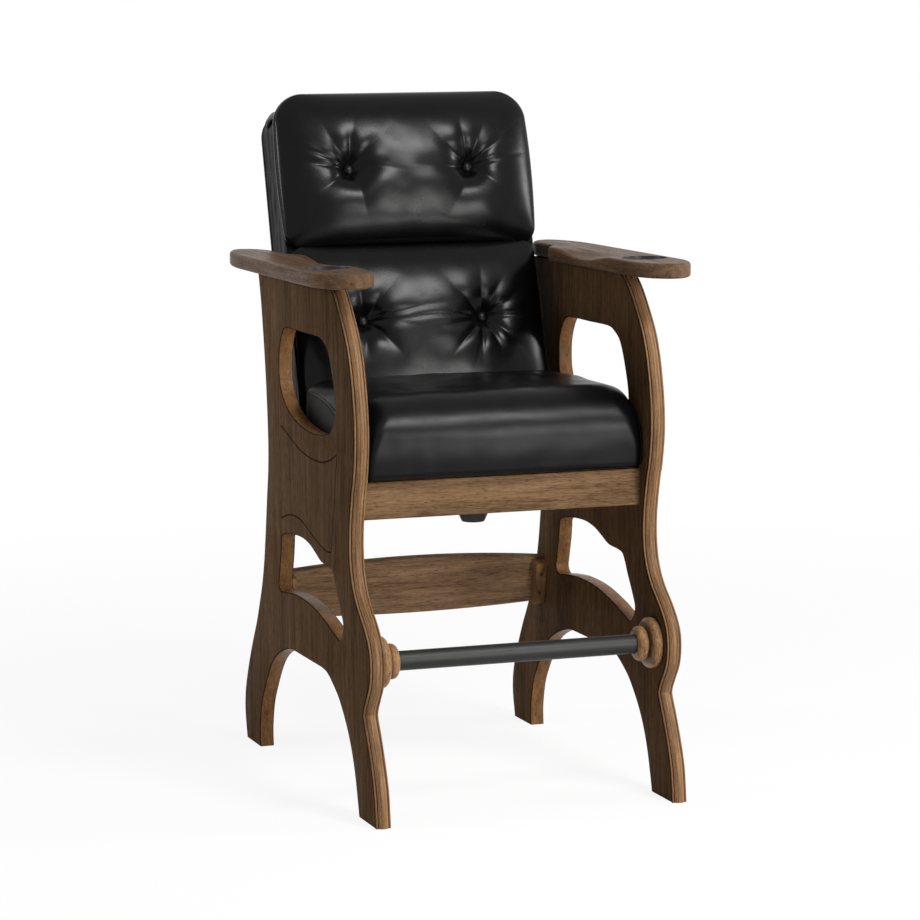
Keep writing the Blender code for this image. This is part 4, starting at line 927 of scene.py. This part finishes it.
# Back pillows. Two loose-looking leather pillows sewn to the front of the boxing, each drawn in at
# two buttons from which the leather gathers in creases, and rolled over at its edges.
pillow_edge, pillow_crown, pillow_bulge, pillow_waves = 0.014, 0.046, 0.0022, 0.0022
tuft_x, upper_tuft_z, lower_tuft_z = 0.122, 0.532, 0.232
tuft_depth, tuft_spread, pit_depth, pit_spread = 0.0265, 0.082, 0.0070, 0.019
crease_strength, crease_start, shallow = 0.78, 0.030, 0.0025
petal_rise, petal_reach, gather_rise, gather_reach, gather_spread = 0.0022, 0.046, 0.00018, 0.026, 0.016


def crease(a, h, button, creases):
    """Each crease leaves the button at an angle, bends a little, and runs out along its length: a
    narrow valley, deepest a short way from the button, between two low broad ridges. Shallow creases are
    wider for their depth than deep ones. Each is given as degrees, length in mm, depth and width in
    tenths of a mm, and bend in hundredths of the length."""
    total = 0
    for angle, *sizes in creases:
        length, depth, width, bend = np.array(sizes) / (1000, 10000, 10000, 100)
        turn = math.radians(angle)
        along = (a - button[0]) * math.cos(turn) + (h - button[1]) * math.sin(turn)
        aside = (h - button[1]) * math.cos(turn) - (a - button[0]) * math.sin(turn)
        share = np.clip(along / length, 0, 1)
        aside = aside - bend * length * share ** 2
        run = np.clip(along / crease_start, 0, 1) * (1 - share) ** 0.8 * crease_strength
        broad = width * (0.95 + 1.1 * share) * (1.8 if depth < shallow else 1.15)
        total = total + depth * run * (np.exp(-np.abs(aside / broad) ** 1.5)
                                       - 0.30 * np.exp(-((np.abs(aside) - 3.2 * broad) / (2.4 * broad)) ** 2))
    return total


def petals(a, h, button, creases):
    """Between neighbouring creases the leather stands up as half a sine of the angle, more where they
    are far apart, and highest at the reach from the button; fine gathers run between them nearer it."""
    away = np.hypot(a - button[0], h - button[1])
    turn = (np.degrees(np.arctan2(h - button[1], a - button[0])) + 60 * away) % 360
    edges = np.sort(np.array([angle for angle, *_ in creases]) % 360)
    after = np.searchsorted(edges, turn) % len(edges)
    span = (edges[after] - edges[after - 1]) % 360
    share = ((turn - edges[after - 1]) % 360) / span
    fade = away / petal_reach * np.exp(0.5 - 0.5 * (away / petal_reach) ** 2)
    swell = petal_rise * np.minimum(span / 45, 1.2) * np.sin(np.pi * share) * fade
    gathers = np.cos(np.radians(turn * 23)) * np.cos(np.radians(turn * 5 + 40))
    gathers = gathers * np.exp(-((away - gather_reach) / gather_spread) ** 2)
    return swell + gather_rise * gathers


def pillow_mesh(foot, top, wide, belly, top_corner, foot_corner, tufts, seed):
    """Rows up and columns across a rounded outline. The front stands out by a swell that is flat in
    the middle and steep at the edges, less the buttons' dimples and creases; the rim runs back to a
    flat rear."""
    up, over = crowded(191), crowded(281)
    height = (foot + top) / 2 + up * (top - foot) / 2
    half = wide - np.maximum(rounding(top_corner, top - height), rounding(foot_corner, height - foot))
    half = half + belly * (1 - up ** 2)
    a = half[:, None] * over
    h = np.broadcast_to(height[:, None], a.shape)
    swell = (1 - np.abs(over) ** 3.0) ** 0.62 * (1 - np.abs(up[:, None]) ** 2.8) ** 0.64
    dip = 0
    for button, creases in tufts:
        away = np.sqrt((a - button[0]) ** 2 + (h - button[1]) ** 2)
        dip = dip + tuft_depth / (1 + (2.0 * away / tuft_spread) ** 2) ** 1.6
        dip = dip + pit_depth * np.exp(-(away / pit_spread) ** 2)
        dip = dip + (crease(a, h, button, creases) - petals(a, h, button, creases)) * swell
    front = pillow_edge + pillow_crown * swell - dip + pillow_waves * swell * ripples(a, h, seed, 30, 0.04, 0.20)
    sheet = places(a, h, front)
    rim = np.concatenate([sheet[0], sheet[1:, -1], sheet[-1, -2::-1], sheet[-2:0:-1, 0]])
    outward, loops = outward_of(rim[:, :2]), []
    for share in np.linspace(1, 0, 9):
        loop = rim[:, :2] + outward * (pillow_bulge * math.sin(math.pi * share))
        loops.append(back_place(loop[:, 0], -(joint_gap + (rim[:, 2] - joint_gap) * share), loop[:, 1]))
    band = grid_mesh("pillow_band", np.concatenate([loops, lid(loops[-1], 5)]), closed_columns=True)
    return merged(grid_mesh("pillow_face", back_place(a, -front, h)), band, distance=0.00002)


upper_tufts = [
    ((-tuft_x, upper_tuft_z), [
        (152, 150, 34, 17, 10), (174, 110, 28, 16, -5), (126, 70, 14, 20, 5), (88, 100, 22, 18, 5),
        (50, 85, 14, 20, 4), (2, 80, 18, 18, 8), (-70, 55, 8, 20, 5), (-142, 85, 14, 20, -5),
    ]),
    ((tuft_x, upper_tuft_z), [
        (10, 130, 34, 16, 5), (40, 150, 26, 18, -4), (72, 80, 12, 20, 4), (104, 95, 22, 18, -4),
        (142, 90, 14, 20, 5), (186, 75, 14, 18, 4), (-32, 85, 12, 20, 5), (-112, 60, 8, 20, 4),
    ]),
]
lower_tufts = [
    ((-tuft_x, lower_tuft_z), [
        (13, 190, 22, 20, -7), (-3, 150, 22, 18, 6), (55, 85, 12, 20, 5), (98, 80, 14, 18, -4),
        (142, 95, 16, 18, 5), (184, 110, 24, 18, 4), (-42, 90, 16, 20, -4), (-92, 85, 14, 20, 4),
        (-138, 100, 18, 20, 3),
    ]),
    ((tuft_x, lower_tuft_z), [
        (176, 160, 30, 18, 5), (196, 90, 12, 18, -5), (0, 115, 36, 16, 2), (30, 110, 24, 18, 5),
        (64, 80, 14, 20, -4), (96, 70, 10, 20, 0), (140, 80, 12, 20, 3), (-36, 110, 24, 18, -5),
        (-66, 95, 24, 18, 4), (-102, 95, 26, 16, 3), (-134, 120, 26, 18, -4),
    ]),
]
pillow_leather = leather("pillow_leather", 0.13, 0.255)
for pillow_name, node, foot, top, wide, belly, top_corner, foot_corner, tufts, seed in (
    ("upper_pillow", "upper_back_pillow", 0.3853, 0.687, 0.2535, 0.0075, 0.056, 0.026, upper_tufts, 21),
    ("lower_pillow", "lower_back_pillow", 0.016, 0.3847, 0.2485, 0.0025, 0.024, 0.024, lower_tufts, 22),
):
    mesh = pillow_mesh(foot, top, wide, belly, top_corner, foot_corner, tufts, seed)
    stuffed(pillow_name, mesh, (pillow_leather,), node)

# Buttons. Small domed moulds covered in leather, two to a pillow, pulled into it by twine that is tied
# off behind.
button_radius, button_height, button_edge, button_seat = 0.0108, 0.008, 0.0022, 0.0250
button_profile = np.vstack([[(0, 0), (button_radius * 0.9, 0)],
                            arc((0, button_edge), (button_radius, button_height - button_edge), 0, 90, 12)])
for level, height in (("upper", upper_tuft_z), ("lower", lower_tuft_z)):
    for side, side_name in sides:
        mesh = turned(button_profile, (0, 0, 0), "z", steps=40)
        placed(mesh, lambda p: back_place(p[:, 0] + side * tuft_x, -button_seat - p[:, 2], p[:, 1] + height))
        piece(level + "_" + side_name + "_tuft_button", merged(mesh), (black_leather,), "seat_unit",
              (level + "_" + side_name + "_button",), smooth=60)

# Camera, lamps and floor: a plain white studio with a wide low lamp, a small one and a big high one in
# front, and one at each side, on a pale floor that keeps the stool's shadow.
scene = bpy.context.scene
scene.view_settings.view_transform = "Standard"
camera = added("camera", bpy.data.cameras.new("camera"))
camera.location = (-2.1569, -6.1862, 1.4672)
camera.rotation_euler = [math.radians(angle) for angle in (82.4316, 0.3744, -19.3731)]
camera.data.lens, camera.data.sensor_width = 135.86, 36
scene.camera = camera
aim = Vector((0, 0, 0.8))
for lamp_name, place, wide, tall, watts, tint in (
    ("low_lamp", (1.15, -3.2, 0.34), 1.5, 0.5, 27, (1, 0.99, 0.98)),
    ("front_lamp", (1.4, -3.6, 1.5), 0.9, 1.0, 58, (1, 0.99, 0.97)),
    ("left_lamp", (-3.4, 0.6, 1.9), 0.7, 0.7, 36, (0.95, 0.98, 1)),
    ("right_lamp", (3.4, -0.8, 1.9), 0.7, 0.7, 42, (1, 0.99, 0.98)),
    ("high_lamp", (0.9, -2.5, 3.2), 1.1, 0.8, 88, (1, 1, 1)),
):
    lamp = added(lamp_name, bpy.data.lights.new(lamp_name, "AREA"))
    lamp.data.shape, lamp.data.size, lamp.data.size_y = "RECTANGLE", wide, tall
    lamp.data.energy, lamp.data.color = watts, tint
    lamp.location = place
    lamp.rotation_euler = (aim - Vector(place)).to_track_quat("-Z", "Y").to_euler()


def seen(nodes):
    """1 for rays from the camera, off glossy things or through clear ones, 0 for the others."""
    camera_ray, glossy_ray, clear_ray = (nodes.node("LightPath", output="Is " + kind + " Ray")
                                         for kind in ("Camera", "Glossy", "Transmission"))
    return (camera_ray + glossy_ray + clear_ray).held()


scene.world = bpy.data.worlds.new("studio")
scene.world.use_nodes = True
air = Nodes(scene.world.node_tree)
level = air.node("MapRange", {"Value": seen(air), "To Min": 0.32, "To Max": 1.0}, "Result")
background = air.tree.nodes["Background"]
background.inputs["Color"].default_value = (1, 1, 1, 1)
air.tree.links.new(level.socket, background.inputs["Strength"])

floor_half = 14
floor_finish = Finish("studio_floor", colour=(0.86, 0.86, 0.86, 1), rough=0.9, gloss=0.0)
far = floor_finish.node("VectorMath", {0: floor_finish.place()}, "Value", operation="LENGTH")
shown = seen(floor_finish) * (0.88 + ((far - 0.8) * 0.4).held() * 0.12)
glow = floor_finish.node("Emission", {"Color": (1, 1, 1, 1), "Strength": 1.0})
blend = floor_finish.node("MixShader", {0: shown, 2: glow})
floor_finish.tree.links.new(floor_finish.shader.outputs[0], blend.socket.node.inputs[1])
floor_finish.tree.links.new(blend.socket, floor_finish.tree.nodes["Material Output"].inputs["Surface"])
floor_mesh = bpy.data.meshes.new("studio_floor")
corners = ((-1, -1), (1, -1), (1, 1), (-1, 1))
floor_mesh.from_pydata([(floor_half * x, floor_half * y, 0) for x, y in corners], [], [(0, 1, 2, 3)])
floor_mesh.materials.append(floor_finish.material)
studio_floor = added("studio_floor", floor_mesh)
